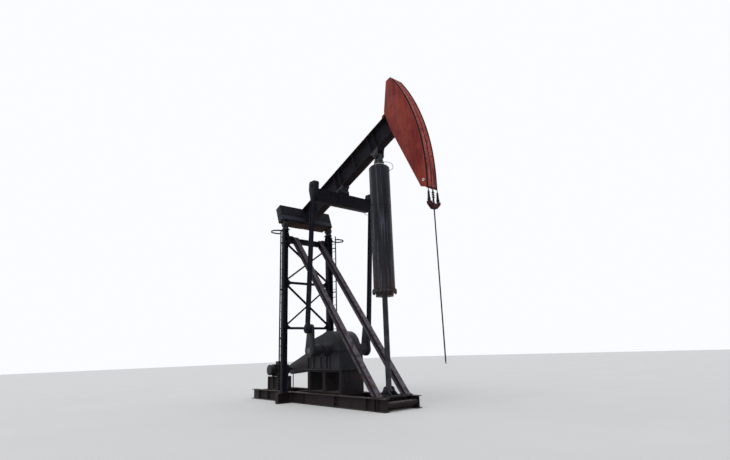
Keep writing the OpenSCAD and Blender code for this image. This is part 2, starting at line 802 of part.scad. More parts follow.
module reducer_sheave() {
    rim_r = sheave_r - 60;
    hub_r = fast_r + 65;
    color(black)
    difference() {
        union() {
            grooved_rim(sheave_r, rim_r, fast_x, crank_z);
            shaft(hub_r, belt_y - belts_half, belt_y + belts_half, fast_x, crank_z);
            for (k = [0 : 2])
                translate([fast_x, belt_y, crank_z]) rotate([0, k * 60, 0])
                    cube([2 * rim_r + 20, 40, 70], center = true);
        }
        shaft(fast_r + seat, belt_y - 2 * belts_half, belt_y + 2 * belts_half, fast_x, crank_z);
    }
}

module motor_sheave() {
    color(black)
    grooved_rim(motor_sheave_r, motor_shaft_r + seat, motor_x, motor_z);
}

module drive_belts() {
    color(rubber)
    for (k = [0 : belt_count - 1])
        side_plate(belt_mid(k) - belt_w / 2, belt_mid(k) + belt_w / 2)
            difference() {
                belt_loop(0);
                belt_loop(-belt_d);
            }
}

module belt_guard() {
    y0 = belt_y - belts_half - guard_in;
    y1 = belt_y + belts_half + guard_out;
    foot = 30;
    color(black) {
        difference() {
            side_plate(y0, y1) belt_loop(guard_gap + guard_t);
            side_plate(y0 + guard_t, y1 - guard_t) belt_loop(guard_gap);
            shaft(fast_r + 15, y0 - 1, y0 + 2 * guard_t, fast_x, crank_z);
            shaft(motor_shaft_r + 15, y0 - 1, y0 + 2 * guard_t, motor_x, motor_z);
        }
        for (p = [[fast_x - sheave_r / 2, crank_z - sheave_r], [motor_x + motor_sheave_r, motor_z - motor_sheave_r]])
            box(p.x - foot, p.x + foot, y0, y0 + 2 * guard_t, base_top + seat, p.y);
    }
}

// Body of the motor in section, with its cooling fins
module motor_section() {
    circle(motor_r - fin_h, $fn = 64);
    for (k = [0 : motor_fins - 1])
        rotate((k + 0.5) * 360 / motor_fins) translate([0, -fin_t / 2]) square([motor_r, fin_t]);
}

module motor() {
    bell = 60;
    fan = 130;
    foot_x = motor_r * 0.85;
    foot_w = 90;
    color(black) {
        translate([motor_x, 0, motor_z]) side_plate(-motor_half, motor_half) motor_section();
        shaft(motor_r - 4, motor_half - bell, motor_half, motor_x, motor_z);
        shaft(motor_r * 0.86, motor_half, motor_half + bell, motor_x, motor_z);
        shaft(motor_r - 10, -motor_half - fan, -motor_half + 20, motor_x, motor_z);
        shaft(motor_shaft_r, motor_half + bell - 1, belt_y + belts_half + guard_in, motor_x, motor_z);
        for (side = [-1, 1])
            translate([motor_x + side * foot_x, 0, 0])
                box(-foot_w / 2, foot_w / 2, 2 * bell - motor_half, motor_half - bell, motor_z - motor_rise,
                    motor_z - motor_rise * 0.4);
        box(motor_x - 120, motor_x + 120, -110, 110, motor_z + motor_r - 2 * fin_h, motor_z + motor_r + 110);
        box(motor_x - 130, motor_x + 130, -120, 120, motor_z + motor_r + 90, motor_z + motor_r + 100);
    }
}

module motor_rails() {
    z0 = base_top + seat;
    z1 = motor_z - motor_rise - seat;
    half = motor_rail_len / 2;
    w = 120;
    color(black)
    for (y = [-motor_rail_gap / 2, motor_rail_gap / 2]) {
        beam_along_x(motor_x - half, motor_x + half, y, z0, z1 - z0, w, post_tf, post_tw);
        for (x = [motor_x - half, motor_x - rib_t / 2, motor_x + half - rib_t])
            box(x, x + rib_t, y - w / 2, y + w / 2, z0, z1);
    }
}

module brake_drum() {
    band_t = 8;
    y0 = -belt_y - brake_w / 2;
    y1 = -belt_y + brake_w / 2;
    color(black)
    difference() {
        union() {
            difference() {
                union() {
                    shaft(brake_r, y0, y1, fast_x, crank_z);
                    shaft(brake_r + 2 * band_t, y0, y0 + 15, fast_x, crank_z);
                    shaft(brake_r + 2 * band_t, y1 - 15, y1, fast_x, crank_z);
                    shaft(brake_r + band_t, y0 + 30, y1 - 30, fast_x, crank_z);
                }
                shaft(brake_r - 40, y0 - 1, y0 + 20, fast_x, crank_z);
            }
            shaft(fast_r + 30, y0 + 5, y0 + 21, fast_x, crank_z);
        }
        shaft(fast_r + seat, y0 - 1, y1 + 1, fast_x, crank_z);
    }
}

module piston_foot() {
    z0 = base_top + seat;
    gap = foot_eye_r + 10;
    plate = foot_span / 2 + member_w / 2;
    color(black) {
        box(tank_x - plate, tank_x + plate, -plate * 0.7, plate * 0.7, z0, z0 + 30);
        for (side = [-1, 1])
            on_side(side) {
                side_plate(gap, gap + 30) {
                    polygon([[tank_x - plate + 50, z0 + 30 + seat], [tank_x + plate - 50, z0 + 30 + seat],
                        [tank_x + 110, foot_z + 20], [tank_x - 110, foot_z + 20]]);
                    translate([tank_x, foot_z + 20]) circle(110, $fn = 48);
                }
                shaft(60, gap + 29, gap + 55, tank_x, foot_z);
            }
    }
}

module walking_beam() {
    half = beam_w / 2;
    rib = half - 15;
    color(black)
    on_beam() {
        beam_along_x(box_u1 + seat, beam_u1 - seat, 0, beam_v0, beam_h, beam_w, beam_tf, beam_tw);
        for (u = [box_u1 + seat, beam_u1 - seat - end_plate])
            box(u, u + end_plate, -half, half, beam_v0, beam_v1);
        for (u = [beam_h, eq_u - eq_bearing_half, eq_u + eq_bearing_half, (eq_u + tank_u) / 2,
                tank_u - eq_bearing_half, tank_u + eq_bearing_half])
            box(u - stiffener_t / 2, u + stiffener_t / 2, -rib, rib, beam_v0 + beam_tf / 2, beam_v1 - beam_tf / 2);
    }
}

// Closed box across the two posts, deeper between its bearings
module cross_box() {
    lip = 12;
    beside = beam_w / 2 + 30;
    color(black)
    on_beam() {
        box(box_u0, box_u1, -box_half, box_half, box_v0, beam_v1);
        box(box_u0, box_u1, -deep_half, deep_half, beam_v0, box_v0 + 1);
        for (side = [-1, 1])
            on_side(side) {
                box(box_u1 - 1, box_u1 + lip, beside, box_half - 40, box_v0 + 10, box_v0 + 10 + doubler_h);
                box(box_u0 - lip, box_u1 + lip, beside, deep_half, beam_v0, beam_v0 + lip);
            }
    }
}

module saddle_shafts() {
    color(black)
    on_beam()
    for (side = [-1, 1])
        on_side(side) translate([0, post_y, 0]) {
            shaft(saddle_r, -lug_half - 5, lug_half + 5);
            for (y = [-lug_half, lug_half - lug_t])
                side_plate(y, y + lug_t) {
                    translate([-saddle_lug_r, 0]) square([2 * saddle_lug_r, box_v0 - seat]);
                    circle(saddle_lug_r, $fn = 64);
                }
        }
}

// Side outline of the horsehead, in the beam's frame
module head_outline(inset) {
    intersection() {
        polygon([[beam_u1 + inset, beam_v0 - 50 + inset], face_low + [-175 + inset, 175 + inset],
            face_low + [-40, 60 + inset], face_low + [0, inset], [well_radius + 300, face_low.y + inset],
            [well_radius + 300, face_high.y - inset], face_high + [0, -inset],
            face_high + [-210 + inset, 30 - inset], [beam_u1 + inset, beam_v1 + 50 - inset]]);
        circle(face_r - face_t, $fn = 256);
    }
}

module horsehead() {
    inner = head_half - head_t;
    ear_y = head_half * 0.45;
    color(red_brown)
    on_beam()
    difference() {
        union() {
            for (side = [-1, 1])
                on_side(side) {
                    side_plate(inner, head_half) head_outline(0);
                    side_plate(ear_y, ear_y + 2 * head_t)
                        polygon([[beam_u1 - ear_len, beam_v1 + seat], [beam_u1 + head_lip + head_t, beam_v1 + seat],
                            [beam_u1 + head_lip + head_t, beam_v1 - head_t],
                            [beam_u1 + 2 * head_lip + head_t, beam_v1 - head_t],
                            [beam_u1 + 2 * head_lip + head_t, beam_v1 + ear_h], [beam_u1 - ear_len + 60, beam_v1 + ear_h]]);
                }
            difference() {
                side_plate(-inner - 1, inner + 1) head_outline(head_lip);
                side_plate(-inner, inner) head_outline(head_lip + head_t);
            }
            shaft(head_pin_r, -ear_y - 3 * head_t, ear_y + 3 * head_t, beam_u1 - ear_len / 2, beam_v1 + ear_h / 2);
        }
        shaft(head_hole_r, -head_half - 1, head_half + 1, face_low.x - 5, face_low.y + 290);
    }
}

module horsehead_face() {
    color(red_brown)
    on_beam()
    side_plate(-head_half, head_half)
    difference() {
        intersection() {
            circle(face_r, $fn = 256);
            polygon([[0, 0], face_low * 1.2, [well_radius * 1.3, 0], face_high * 1.2]);
        }
        circle(face_r - face_t + seat, $fn = 256);
    }
}

module equalizer_bearing() {
    top = beam_v0 - seat;
    half = eq_bearing_half;
    color(black)
    on_beam()
    difference() {
        union() {
            box(eq_u - eq_foot, eq_u + eq_foot, -half, half, top - bearing_foot_t, top);
            side_plate(-half, half)
                polygon([[eq_u - eq_foot + 30, top - bearing_foot_t + 1], [eq_u + eq_foot - 30, top - bearing_foot_t + 1],
                    [eq_u + eq_housing_r, eq_v], [eq_u - eq_housing_r, eq_v]]);
            shaft(eq_housing_r, -half, half, eq_u, eq_v);
        }
        shaft(eq_r + run, -2 * half, 2 * half, eq_u, eq_v);
    }
}

module tank_bearing() {
    foot = 2 * tank_ear_r;
    ear = 40;
    top = beam_v0 - seat;
    color(black)
    on_beam() {
        box(tank_u - foot, tank_u + foot, -beam_w / 2, beam_w / 2, top - tank_foot_t, top);
        for (y = [-beam_w / 2, beam_w / 2 - ear])
            side_plate(y, y + ear) {
                polygon([[tank_u - foot + 30, top - tank_foot_t + 1], [tank_u + foot - 30, top - tank_foot_t + 1],
                    [tank_u + tank_ear_r, tank_v], [tank_u - tank_ear_r, tank_v]]);
                translate([tank_u, tank_v]) circle(tank_ear_r, $fn = 48);
            }
        shaft(tank_pin_r, -beam_w / 2 - 15, beam_w / 2 + 15, tank_u, tank_v);
    }
}

module wireline_wrap() {
    color(steel)
    on_beam()
    for (side = [-1, 1])
        translate([0, side * rope_y, 0]) rotate([90, 0, 0]) rotate([0, 0, -beam_rise + 0.01])
            rotate_extrude(angle = beam_rise + head_high - 1, $fn = 256)
                translate([well_radius, 0]) circle(rope_r, $fn = 16);
}

// Box girder that hangs under the walking beam and ends inside the pitmans' heads
module equalizer() {
    top = -eq_housing_r - eq_gap;
    half = pitman_y - pitman_t / 2 - head_in - seat;
    low = top - eq_h;
    lug_y = eq_bearing_half + 15;
    color(black)
    on_equalizer() {
        side = eq_w / 2;
        translate([side, 0, 0]) rotate([0, -90, 0]) linear_extrude(eq_w)
            polygon([[top, -half], [low + 30, -half], [low, -half + 30], [low, half - 30], [low + 30, half], [top, half]]);
        for (z = [top - 15, low])
            box(-side - 12, side + 12, -half + 80, half - 80, z, z + 15);
        for (side = [-1, 1])
            on_side(side)
                side_plate(lug_y, lug_y + 40) {
                    translate([-eq_housing_r, top - 10]) square([2 * eq_housing_r, -top + 10]);
                    circle(eq_housing_r, $fn = 48);
                }
        shaft(eq_r, -lug_y - 55, lug_y + 55);
    }
}

// Side outline of a pitman: a wide head on a straight bar with a round foot
module pitman_outline() {
    top = pitman_head_h;
    w = pitman_head_w;
    corner = 50;
    polygon([[-w + corner, top], [w - corner, top], [w, top - corner], [w, corner - top - corner],
        [pitman_w / 2, -pitman_taper], [-pitman_w / 2, -pitman_taper], [-w, corner - top - corner],
        [-w, top - corner]]);
}

module pitman(side) {
    out = pitman_t / 2;
    flange = 20;
    web = 22;
    color(black)
    on_equalizer()
    on_side(side) translate([0, pitman_y, 0]) {
        side_plate(-out - head_in, out) pitman_outline();
        difference() {
            side_plate(-out, out) {
                translate([-pitman_w / 2, -pitman_len]) square([pitman_w, pitman_len - pitman_taper + 10]);
                translate([0, -pitman_len]) circle(wrist_housing_r, $fn = 64);
            }
            for (y = [web / 2, -web / 2 - out])
                box(flange - pitman_w / 2, pitman_w / 2 - flange, y, y + out,
                    wrist_housing_r + 60 - pitman_len, -pitman_taper - 60);
        }
        shaft(eq_r + 10, out - 1, out + 45);
        translate([0, 0, -pitman_len]) shaft(wrist_r + 40, out - 1, out + 40);
    }
}

module crank_shaft() {
    color(steel)
    shaft(slow_r, 5 - crank_y, crank_y - 5, crank_x, crank_z);
}

module crank(side) {
    y0 = crank_y - crank_t;
    y1 = crank_y - 15;
    arm_w = crank_w / 2;
    color(black)
    on_crank() on_side(side)
    difference() {
        union() {
            side_plate(y0, y1) {
                circle(crank_hub_r, $fn = 64);
                polygon([[10 - crank_hub_r, 0], [crank_hub_r - 10, 0], [arm_w, crank_throw], [-arm_w, crank_throw]]);
                translate([0, crank_throw]) circle(arm_w, $fn = 64);
            }
            shaft(crank_hub_r - 40, y0 - hub_len, y0 + 1);
        }
        shaft(slow_r + seat, y0 - hub_len - 1, crank_y + 10);
    }
    color(steel)
    on_crank() on_side(side)
        shaft(wrist_r + 25, y1 - 5, crank_y, 0, crank_throw);
}

module air_tank() {
    z0 = tank_z0 + bottom_h;
    len = tank_pin_z - tank_drop - z0;
    color(black)
    translate([tank_x, 0, z0])
    difference() {
        cylinder(h = len, r = tank_r, $fn = 96);
        translate([0, 0, -1]) cylinder(h = len + 2, r = tank_r - tank_wall, $fn = 96);
    }
}

module tank_top() {
    z0 = tank_pin_z - tank_drop + seat;
    flat_r = tank_r - dome_r;
    half = 100;
    color(black) {
        translate([tank_x, 0, z0]) rotate_extrude($fn = 96) {
            square([flat_r, dome_r]);
            square([tank_r, 5]);
            intersection() {
                translate([flat_r, 0]) circle(dome_r, $fn = 48);
                square([tank_r, dome_r]);
            }
            square([neck_r, dome_r + half]);
            square([neck_r + 25, dome_r + 20]);
        }
        difference() {
            union() {
                box(tank_x - half + 5, tank_x + half - 5, -half, half, z0 + dome_r + half - 1, tank_pin_z);
                shaft(half - 5, -half, half, tank_x, tank_pin_z);
            }
            shaft(tank_pin_r + run, -2 * half, 2 * half, tank_x, tank_pin_z);
        }
    }
}

module tank_bottom() {
    ring_z = bottom_h - ring_t;
    color(black)
    translate([tank_x, 0, tank_z0])
    difference() {
        union() {
            translate([0, 0, ring_z]) cylinder(h = ring_t - seat, r = tank_r + ring_over, $fn = 64);
            cylinder(h = ring_z + 1, r = tank_r - 60, $fn = 64);
            cylinder(h = 30, r = piston_rod_r + 90, $fn = 64);
            for (k = [0 : ring_bolts - 1])
                rotate(k * 360 / ring_bolts) translate([tank_r + ring_over / 3, 0, ring_z - 40])
                    cylinder(h = 50, r = 22, $fn = 6);
        }
        translate([0, 0, -1]) cylinder(h = bottom_h + 2, r = piston_rod_r + seat, $fn = 64);
    }
}

module piston_rod() {
    piston_z = tank_z0 + bottom_h + 30;
    color(steel) {
        translate([tank_x, 0, foot_z]) cylinder(h = piston_z + 10 - foot_z, r = piston_rod_r, $fn = 48);
        translate([tank_x, 0, piston_z]) cylinder(h = 140, r = tank_r - tank_wall - 2, $fn = 64);
        shaft(foot_eye_r, -foot_eye_r, foot_eye_r, tank_x, foot_z);
    }
}

module carrier_bar() {
    z1 = carrier_z;
    z0 = carrier_z - carrier_h;
    half = rope_y + socket_r;
    slot = 80;
    color(dark_red)
    difference() {
        union() {
            translate([well_radius - carrier_t / 2, 0, 0]) rotate([90, 0, 90]) linear_extrude(carrier_t)
                polygon([[-half, z1 - 30], [-half, z1 - 110], [-slot - 5, z0], [slot + 5, z0], [half, z1 - 110],
                    [half, z1 - 30], [slot, z1 - slot - 10], [-slot, z1 - slot - 10]]);
            for (side = [-1, 1])
                translate([well_radius, side * rope_y, z1 - 120]) cylinder(h = 180, r = socket_r, $fn = 32);
        }
        translate([well_radius, 0, z0 - 10]) cylinder(h = carrier_h, r = rod_r + seat, $fn = 32);
    }
}

// Row of clamps on the rod, each with its waist
module rod_clamp() {
    z0 = carrier_z - 90 + seat;
    color(black)
    translate([well_radius, 0, z0])
    difference() {
        union() {
            cylinder(h = 30, r = clamp_r + 12, $fn = 6);
            for (k = [0 : clamp_count - 1])
                translate([0, 0, 30 + k * clamp_h]) {
                    cylinder(h = clamp_h * 0.7, r = clamp_r, $fn = 8);
                    cylinder(h = clamp_h, r = (clamp_r + rod_r) / 2, $fn = 32);
                }
        }
        translate([0, 0, -1]) cylinder(h = 40 + clamp_count * clamp_h, r = rod_r + seat, $fn = 32);
    }
}

module polished_rod() {
    len = rod_top_z - rod_end_z;
    color(steel)
    translate([well_radius, 0, rod_end_z]) {
        cylinder(h = rod_pin_len + 1, r = rod_pin_r, $fn = 32);
        translate([0, 0, rod_pin_len]) cylinder(h = len - rod_pin_len, r = rod_r, $fn = 32);
    }
}

module wireline_run() {
    z0 = carrier_z + 60 + seat;
    color(steel)
    for (side = [-1, 1])
        translate([well_radius, side * rope_y, z0]) cylinder(h = pivot_z - seat - z0, r = rope_r, $fn = 16);
}

skid_rails();
skid_cross_members();
tower_post(1);  // tower_post_left
tower_post(-1);  // tower_post_right
tower_cross_beam();
tower_horizontals();
tower_braces();
front_leg(1);  // front_leg_left
front_leg(-1);  // front_leg_right
post_bearing(1);  // post_bearing_left
post_bearing(-1);  // post_bearing_right
ladder(1);  // ladder_left
ladder(-1);  // ladder_right
reducer_pedestal();
gear_reducer();
reducer_sheave();
drive_belts();
belt_guard();
motor();
motor_sheave();
motor_rails();
brake_drum();
piston_foot();
walking_beam();
cross_box();
saddle_shafts();
horsehead();
horsehead_face();
equalizer_bearing();
tank_bearing();
wireline_wrap();
equalizer();
pitman(1);  // pitman_left
pitman(-1);  // pitman_right
crank_shaft();
crank(1);  // crank_left
crank(-1);  // crank_right
air_tank();
tank_top();
tank_bottom();
piston_rod();
carrier_bar();
rod_clamp();
polished_rod();
wireline_run();
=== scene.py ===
"""Looks of an air-balanced oil well pumpjack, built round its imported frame.

Lengths are in metres, and names that end in _mm are in millimetres. X points to the well, Y to the
machine's left and Z up. On the beam, u runs along it from its pivot and v stands square to it.
"""

from __future__ import annotations

import json
import logging
import math
from dataclasses import dataclass
from enum import Enum
from itertools import product
from typing import Callable, Iterable, Sequence

import bmesh
import bpy
from mathutils import Matrix, Vector
from mathutils.geometry import interpolate_bezier

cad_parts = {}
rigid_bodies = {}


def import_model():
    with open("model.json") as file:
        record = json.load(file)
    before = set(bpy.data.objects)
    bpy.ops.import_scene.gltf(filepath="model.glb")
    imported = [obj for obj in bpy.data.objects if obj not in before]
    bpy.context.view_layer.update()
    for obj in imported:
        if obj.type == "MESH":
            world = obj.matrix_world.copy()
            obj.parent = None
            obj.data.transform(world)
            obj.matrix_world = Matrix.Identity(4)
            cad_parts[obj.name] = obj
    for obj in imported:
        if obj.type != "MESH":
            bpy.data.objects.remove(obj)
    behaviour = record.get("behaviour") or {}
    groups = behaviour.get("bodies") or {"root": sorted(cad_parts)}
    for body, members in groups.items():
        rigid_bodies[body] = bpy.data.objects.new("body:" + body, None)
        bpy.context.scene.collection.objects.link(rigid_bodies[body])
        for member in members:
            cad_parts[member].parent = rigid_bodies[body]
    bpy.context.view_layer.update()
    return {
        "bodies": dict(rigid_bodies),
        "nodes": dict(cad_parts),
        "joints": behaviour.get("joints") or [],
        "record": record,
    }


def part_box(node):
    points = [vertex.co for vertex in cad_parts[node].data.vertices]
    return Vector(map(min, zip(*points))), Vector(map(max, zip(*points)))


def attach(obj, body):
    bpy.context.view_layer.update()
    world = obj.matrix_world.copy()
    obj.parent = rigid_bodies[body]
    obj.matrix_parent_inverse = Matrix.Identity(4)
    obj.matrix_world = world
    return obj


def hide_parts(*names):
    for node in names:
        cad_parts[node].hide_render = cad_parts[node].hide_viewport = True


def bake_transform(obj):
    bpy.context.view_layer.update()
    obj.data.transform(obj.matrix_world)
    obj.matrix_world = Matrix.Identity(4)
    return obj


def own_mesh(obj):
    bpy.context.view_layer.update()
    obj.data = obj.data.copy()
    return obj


LOG = logging.getLogger("pumpjack")
MM = 0.001
SAME_POINT = 0.02 * MM
SLIVER = 0.01 * MM
FLAT = math.radians(0.4)
SHARP = math.radians(40)
RIM = math.radians(60)
SIDES = (-1, 1)
UP = (0.0, 0.0, 1.0)
Point = Sequence[float]
Socket = bpy.types.NodeSocket


class Slot(Enum):
    """The record's material slots, passed along with the added pieces."""

    BLACK = "black_paint"
    TANK = "tank_paint"
    RED_BROWN = "red_brown_paint"
    CARRIER = "carrier_paint"
    STEEL = "bright_steel"


def linear(colour: str) -> tuple[float, float, float, float]:
    """Turns an sRGB hex colour to linear.

    Args:
        colour: The colour as #rrggbb.

    Returns:
        Its linear red, green and blue, with an alpha of 1.
    """
    parts = [int(colour[i:i + 2], 16) / 255 for i in (1, 3, 5)]
    return (*[c / 12.92 if c <= 0.04045 else ((c + 0.055) / 1.055) ** 2.4 for c in parts], 1.0)


def add(tree: bpy.types.NodeTree, kind: str, inputs: dict | None = None,
        **settings: object) -> bpy.types.Node:
    """Adds a node with its settings and links.

    Args:
        tree: The node tree.
        kind: The node's type, without ShaderNode.
        inputs: Values or sockets by the input's name or index.
        **settings: The node's own settings.

    Returns:
        The node.
    """
    node = tree.nodes.new("ShaderNode" + kind)
    for name, value in settings.items():
        setattr(node, name, value)
    for name, value in (inputs or {}).items():
        if isinstance(value, Socket):
            tree.links.new(value, node.inputs[name])
        else:
            node.inputs[name].default_value = value
    return node


class Pattern:
    """The masks and mixes that the finishes share, on one material's nodes."""

    def __init__(self, name: str) -> None:
        """Starts a material of that name.

        Args:
            name: The material's name.
        """
        self.material = bpy.data.materials.new(name)
        self.material.use_nodes = True
        self.tree = self.material.node_tree
        self.tree.nodes.clear()
        self.place = add(self.tree, "TexCoord")

    def noise(self, size_mm: float, detail: float = 4.0, stretch: Point = (1, 1, 1),
              shift: float = 0.0) -> Socket:
        """Makes a noise whose patches are about size_mm across.

        Args:
            size_mm: Size of a patch.
            detail: Noise octaves.
            stretch: Scale along X, Y and Z; below 1 the patches grow longer.
            shift: Moves the pattern, so that two noises differ.

        Returns:
            The noise's value.
        """
        moved = add(self.tree, "Mapping", {"Vector": self.place.outputs["Object"],
                                           "Scale": tuple(stretch),
                                           "Location": (shift, shift * 0.7, shift * 1.3)})
        noise = add(self.tree, "TexNoise", {"Vector": moved.outputs[0], "Scale": 1000 / size_mm,
                                            "Detail": detail, "Roughness": 0.6})
        return noise.outputs[0]

    def mask(self, value: Socket, low: float, high: float, top: float = 1.0) -> Socket:
        """Turns a value to a soft mask that rises from 0 at low to top at high."""
        return add(self.tree, "MapRange", {"Value": value, "From Min": low, "From Max": high,
                                           "To Max": top},
                   interpolation_type="SMOOTHSTEP").outputs[0]

    def join(self, how: str, a: Socket | float, b: Socket | float) -> Socket:
        """Joins two values by a math operation, clamped from 0 to 1."""
        return add(self.tree, "Math", {0: a, 1: b}, operation=how, use_clamp=True).outputs[0]

    def mix(self, mask: Socket, under: Socket | str, over: str) -> Socket:
        """Lays one colour over another where the mask is 1."""
        base = linear(under) if isinstance(under, str) else under
        return add(self.tree, "Mix", {0: mask, 6: base, 7: linear(over)},
                   data_type="RGBA").outputs[2]

    def normal_part(self, axis: int) -> Socket:
        """Gives the normal's part along an axis, from -1 to 1, in the piece's own frame."""
        return add(self.tree, "SeparateXYZ", {0: self.place.outputs["Normal"]}).outputs[axis]

    def height(self, tilt: float) -> Socket:
        """Gives the height in metres, measured square to a tilted beam.

        Args:
            tilt: How far the beam rises, in degrees.

        Returns:
            The height.
        """
        turned = add(self.tree, "Mapping", {"Vector": self.place.outputs["Object"],
                                            "Rotation": (0.0, math.radians(tilt), 0.0)})
        return add(self.tree, "SeparateXYZ", {0: turned.outputs[0]}).outputs[2]

    def edges(self, radius_mm: float) -> Socket:
        """Gives a mask of the edges, found by how a rounded normal leaves the true one.

        Args:
            radius_mm: How far from the edge it reaches.

        Returns:
            The mask.
        """
        round_off = add(self.tree, "Bevel", {"Radius": radius_mm * MM}, samples=4)
        flat = add(self.tree, "NewGeometry").outputs["Normal"]
        dot = add(self.tree, "VectorMath", {0: round_off.outputs[0], 1: flat},
                  operation="DOT_PRODUCT")
        return self.mask(dot.outputs["Value"], 0.985, 0.86)

    def close(self, colour: Socket, roughness: Socket, height: Socket, depth_mm: float,
              metal: float = 0.0, level: float = 0.5) -> bpy.types.Material:
        """Ends the material in its shader.

        Args:
            colour: Base colour.
            roughness: Roughness.
            height: Height for the bump.
            depth_mm: Depth of the bump.
            metal: Metallic.
            level: Specular level.

        Returns:
            The material.
        """
        bump = add(self.tree, "Bump", {"Height": height, "Distance": depth_mm * MM,
                                       "Strength": 0.6})
        shader = add(self.tree, "BsdfPrincipled", {"Base Color": colour, "Roughness": roughness,
                                                   "Normal": bump.outputs[0], "Metallic": metal,
                                                   "Specular IOR Level": level})
        out = add(self.tree, "OutputMaterial")
        self.tree.links.new(shader.outputs[0], out.inputs[0])
        return self.material


@dataclass(frozen=True)
class WornEnamel:
    """Alkyd enamel brushed on structural steel, years outdoors.

    To the eye: a dull coat gone uneven in large patches, rust blooming in spots and along the
    edges, pale dust where a face looks up, brown grime underneath, and rain streaks down the
    sides. On the tank the paler patches and streaks are partly a painted sheen, on the face's
    strips the paler streaks are painted highlights, and on the legs the pale tops are partly
    painted light. Rusted, dusty, grimy and worn are strengths from 0 to 1, as is the share of
    the streaks and sheen, and matt is the roughness of the bare coat. A band lies between two
    heights, and a stain fades between two.
    """

    name: str
    coat: str
    faded_and_sheen: str
    dust: str = "#4c4a4c"
    under: str = "#221716"
    rust: str = "#3a2520"
    edge: str = "#3c312f"
    streak_and_sheen: str = "#2c2d35"
    patch_mm: float = 700.0
    spot_mm: float = 90.0
    # Real grit is finer than 1 mm, and it is drawn this coarse to show.
    grit_mm: float = 24.0
    streak_mm: float = 70.0
    edge_mm: float = 14.0
    relief_mm: float = 2.0
    rusted: float = 0.42
    dusty: float = 0.5
    dust_from: float = 0.3
    dust_full: float = 0.95
    grimy: float = 0.6
    streak_and_sheen_share: float = 0.35
    worn: float = 0.5
    matt: float = 0.5
    level: float = 0.1
    band: tuple[float, float] | None = None
    band_coat: str = "#363a46"
    tilt: float = 0.0
    end_coat: str | None = None
    stain: tuple[float, float] | None = None
    stain_coat: str = "#3d2a22"

    def build(self) -> bpy.types.Material:
        """Makes the material, from its paint up to its rust and worn edges.

        Returns:
            The material.
        """
        p = Pattern(self.name)
        broad = p.noise(self.patch_mm)
        spots = p.noise(self.spot_mm, 6, shift=3.1)
        fine = p.noise(self.grit_mm, 5, shift=7.7)
        up = p.normal_part(2)
        runs = p.noise(self.streak_mm, 3, (1, 1, 0.045), 1.9)
        # The paler patches are faded paint; on the tank they are partly a painted sheen.
        colour = p.mix(p.mask(broad, 0.36, 0.66, 0.8), self.coat, self.faded_and_sheen)
        if self.end_coat:
            across = p.join("ABSOLUTE", p.normal_part(1), 0.0)
            colour = p.mix(p.mask(across, 0.7, 0.9, 0.85), colour, self.end_coat)
        if self.band:
            low, high = self.band
            height = p.height(self.tilt)
            strip = p.join("MULTIPLY", p.mask(height, low, low + 0.01),
                           p.mask(height, high, high - 0.04))
            strip = p.join("MULTIPLY", strip, p.mask(runs, 0.1, 0.6))
            colour = p.mix(strip, colour, self.band_coat)
        # Streaks of rain; on the tank the pale ones are partly a painted sheen, and on the face's
        # strips they are painted highlights.
        colour = p.mix(p.mask(runs, 0.46, 0.68, self.streak_and_sheen_share), colour, self.streak_and_sheen)
        if self.stain:
            full, gone = self.stain
            wet = p.join("MULTIPLY", p.mask(p.height(0.0), gone, full),
                         p.mask(runs, 0.62, 0.42, 0.9))
            colour = p.mix(wet, colour, self.stain_coat)
        grime = p.join("MULTIPLY", p.mask(up, -0.35, -0.9), self.grimy)
        colour = p.mix(grime, colour, self.under)
        # Pale on faces that look up: dust, and on the legs partly painted light on their tops.
        dust = p.join("MULTIPLY", p.mask(up, self.dust_from, self.dust_full, self.dusty),
                      p.mask(fine, 0.2, 0.62))
        colour = p.mix(dust, colour, self.dust)
        whole = 1 - self.rusted
        bloom = p.join("ADD", p.mask(spots, whole - 0.04, whole + 0.1, 0.75),
                       p.join("MULTIPLY", p.mask(broad, 0.55, 0.75, 0.35), p.mask(fine, 0.42, 0.6)))
        colour = p.mix(bloom, colour, self.rust)
        edge = p.join("MULTIPLY", p.edges(self.edge_mm), p.mask(fine, 0.3, 0.6))
        colour = p.mix(p.join("MULTIPLY", edge, self.worn), colour, self.edge)
        rough = p.join("ADD", p.mask(fine, 0.2, 0.8, 0.18),
                       p.join("ADD", p.mask(bloom, 0.0, 1.0, 0.3), self.matt))
        relief = p.join("ADD", p.mask(spots, 0.3, 0.7, 0.6), p.mask(fine, 0.2, 0.8, 0.4))
        return p.close(colour, rough, relief, self.relief_mm, level=self.level)


@dataclass(frozen=True)
class OiledSteel:
    """Turned or drawn steel under a film of oil and dirt.

    To the eye: a grey metal with a soft sheen, darker where the grime has dried on it.
    """

    name: str
    bright: str
    grime: str
    grimy: float = 0.6
    roughness: float = 0.34
    # Real draw and tool marks are finer than 1 mm, and they are drawn this coarse to show.
    line_mm: float = 14.0
    patch_mm: float = 260.0
    level: float = 0.5
    metal: float = 1.0

    def build(self) -> bpy.types.Material:
        """Makes the material.

        Returns:
            The material.
        """
        p = Pattern(self.name)
        broad = p.noise(self.patch_mm, 5)
        lines = p.noise(self.line_mm, 3, (1, 1, 0.12), 5.0)
        colour = p.mix(p.mask(broad, 0.35, 0.68, self.grimy), self.bright, self.grime)
        colour = p.mix(p.mask(lines, 0.55, 0.75, 0.35), colour, self.grime)
        rough = p.join("ADD", p.mask(broad, 0.3, 0.7, 0.25), self.roughness)
        return p.close(colour, rough, lines, 0.6, self.metal, self.level)


@dataclass(frozen=True)
class DustyRubber:
    """Vulcanised rubber of a V-belt: matt black, greyed by its own dust."""

    name: str = "dusty_rubber"
    coat: str = "#18181a"
    dust: str = "#39383a"
    # Real dust is far finer, and it is drawn this coarse to show.
    grit_mm: float = 18.0

    def build(self) -> bpy.types.Material:
        """Makes the material.

        Returns:
            The material.
        """
        p = Pattern(self.name)
        fine = p.noise(self.grit_mm, 5)
        colour = p.mix(p.mask(fine, 0.4, 0.7, 0.7), self.coat, self.dust)
        return p.close(colour, p.mask(fine, -1.5, 1.0), fine, 0.8, level=0.4)


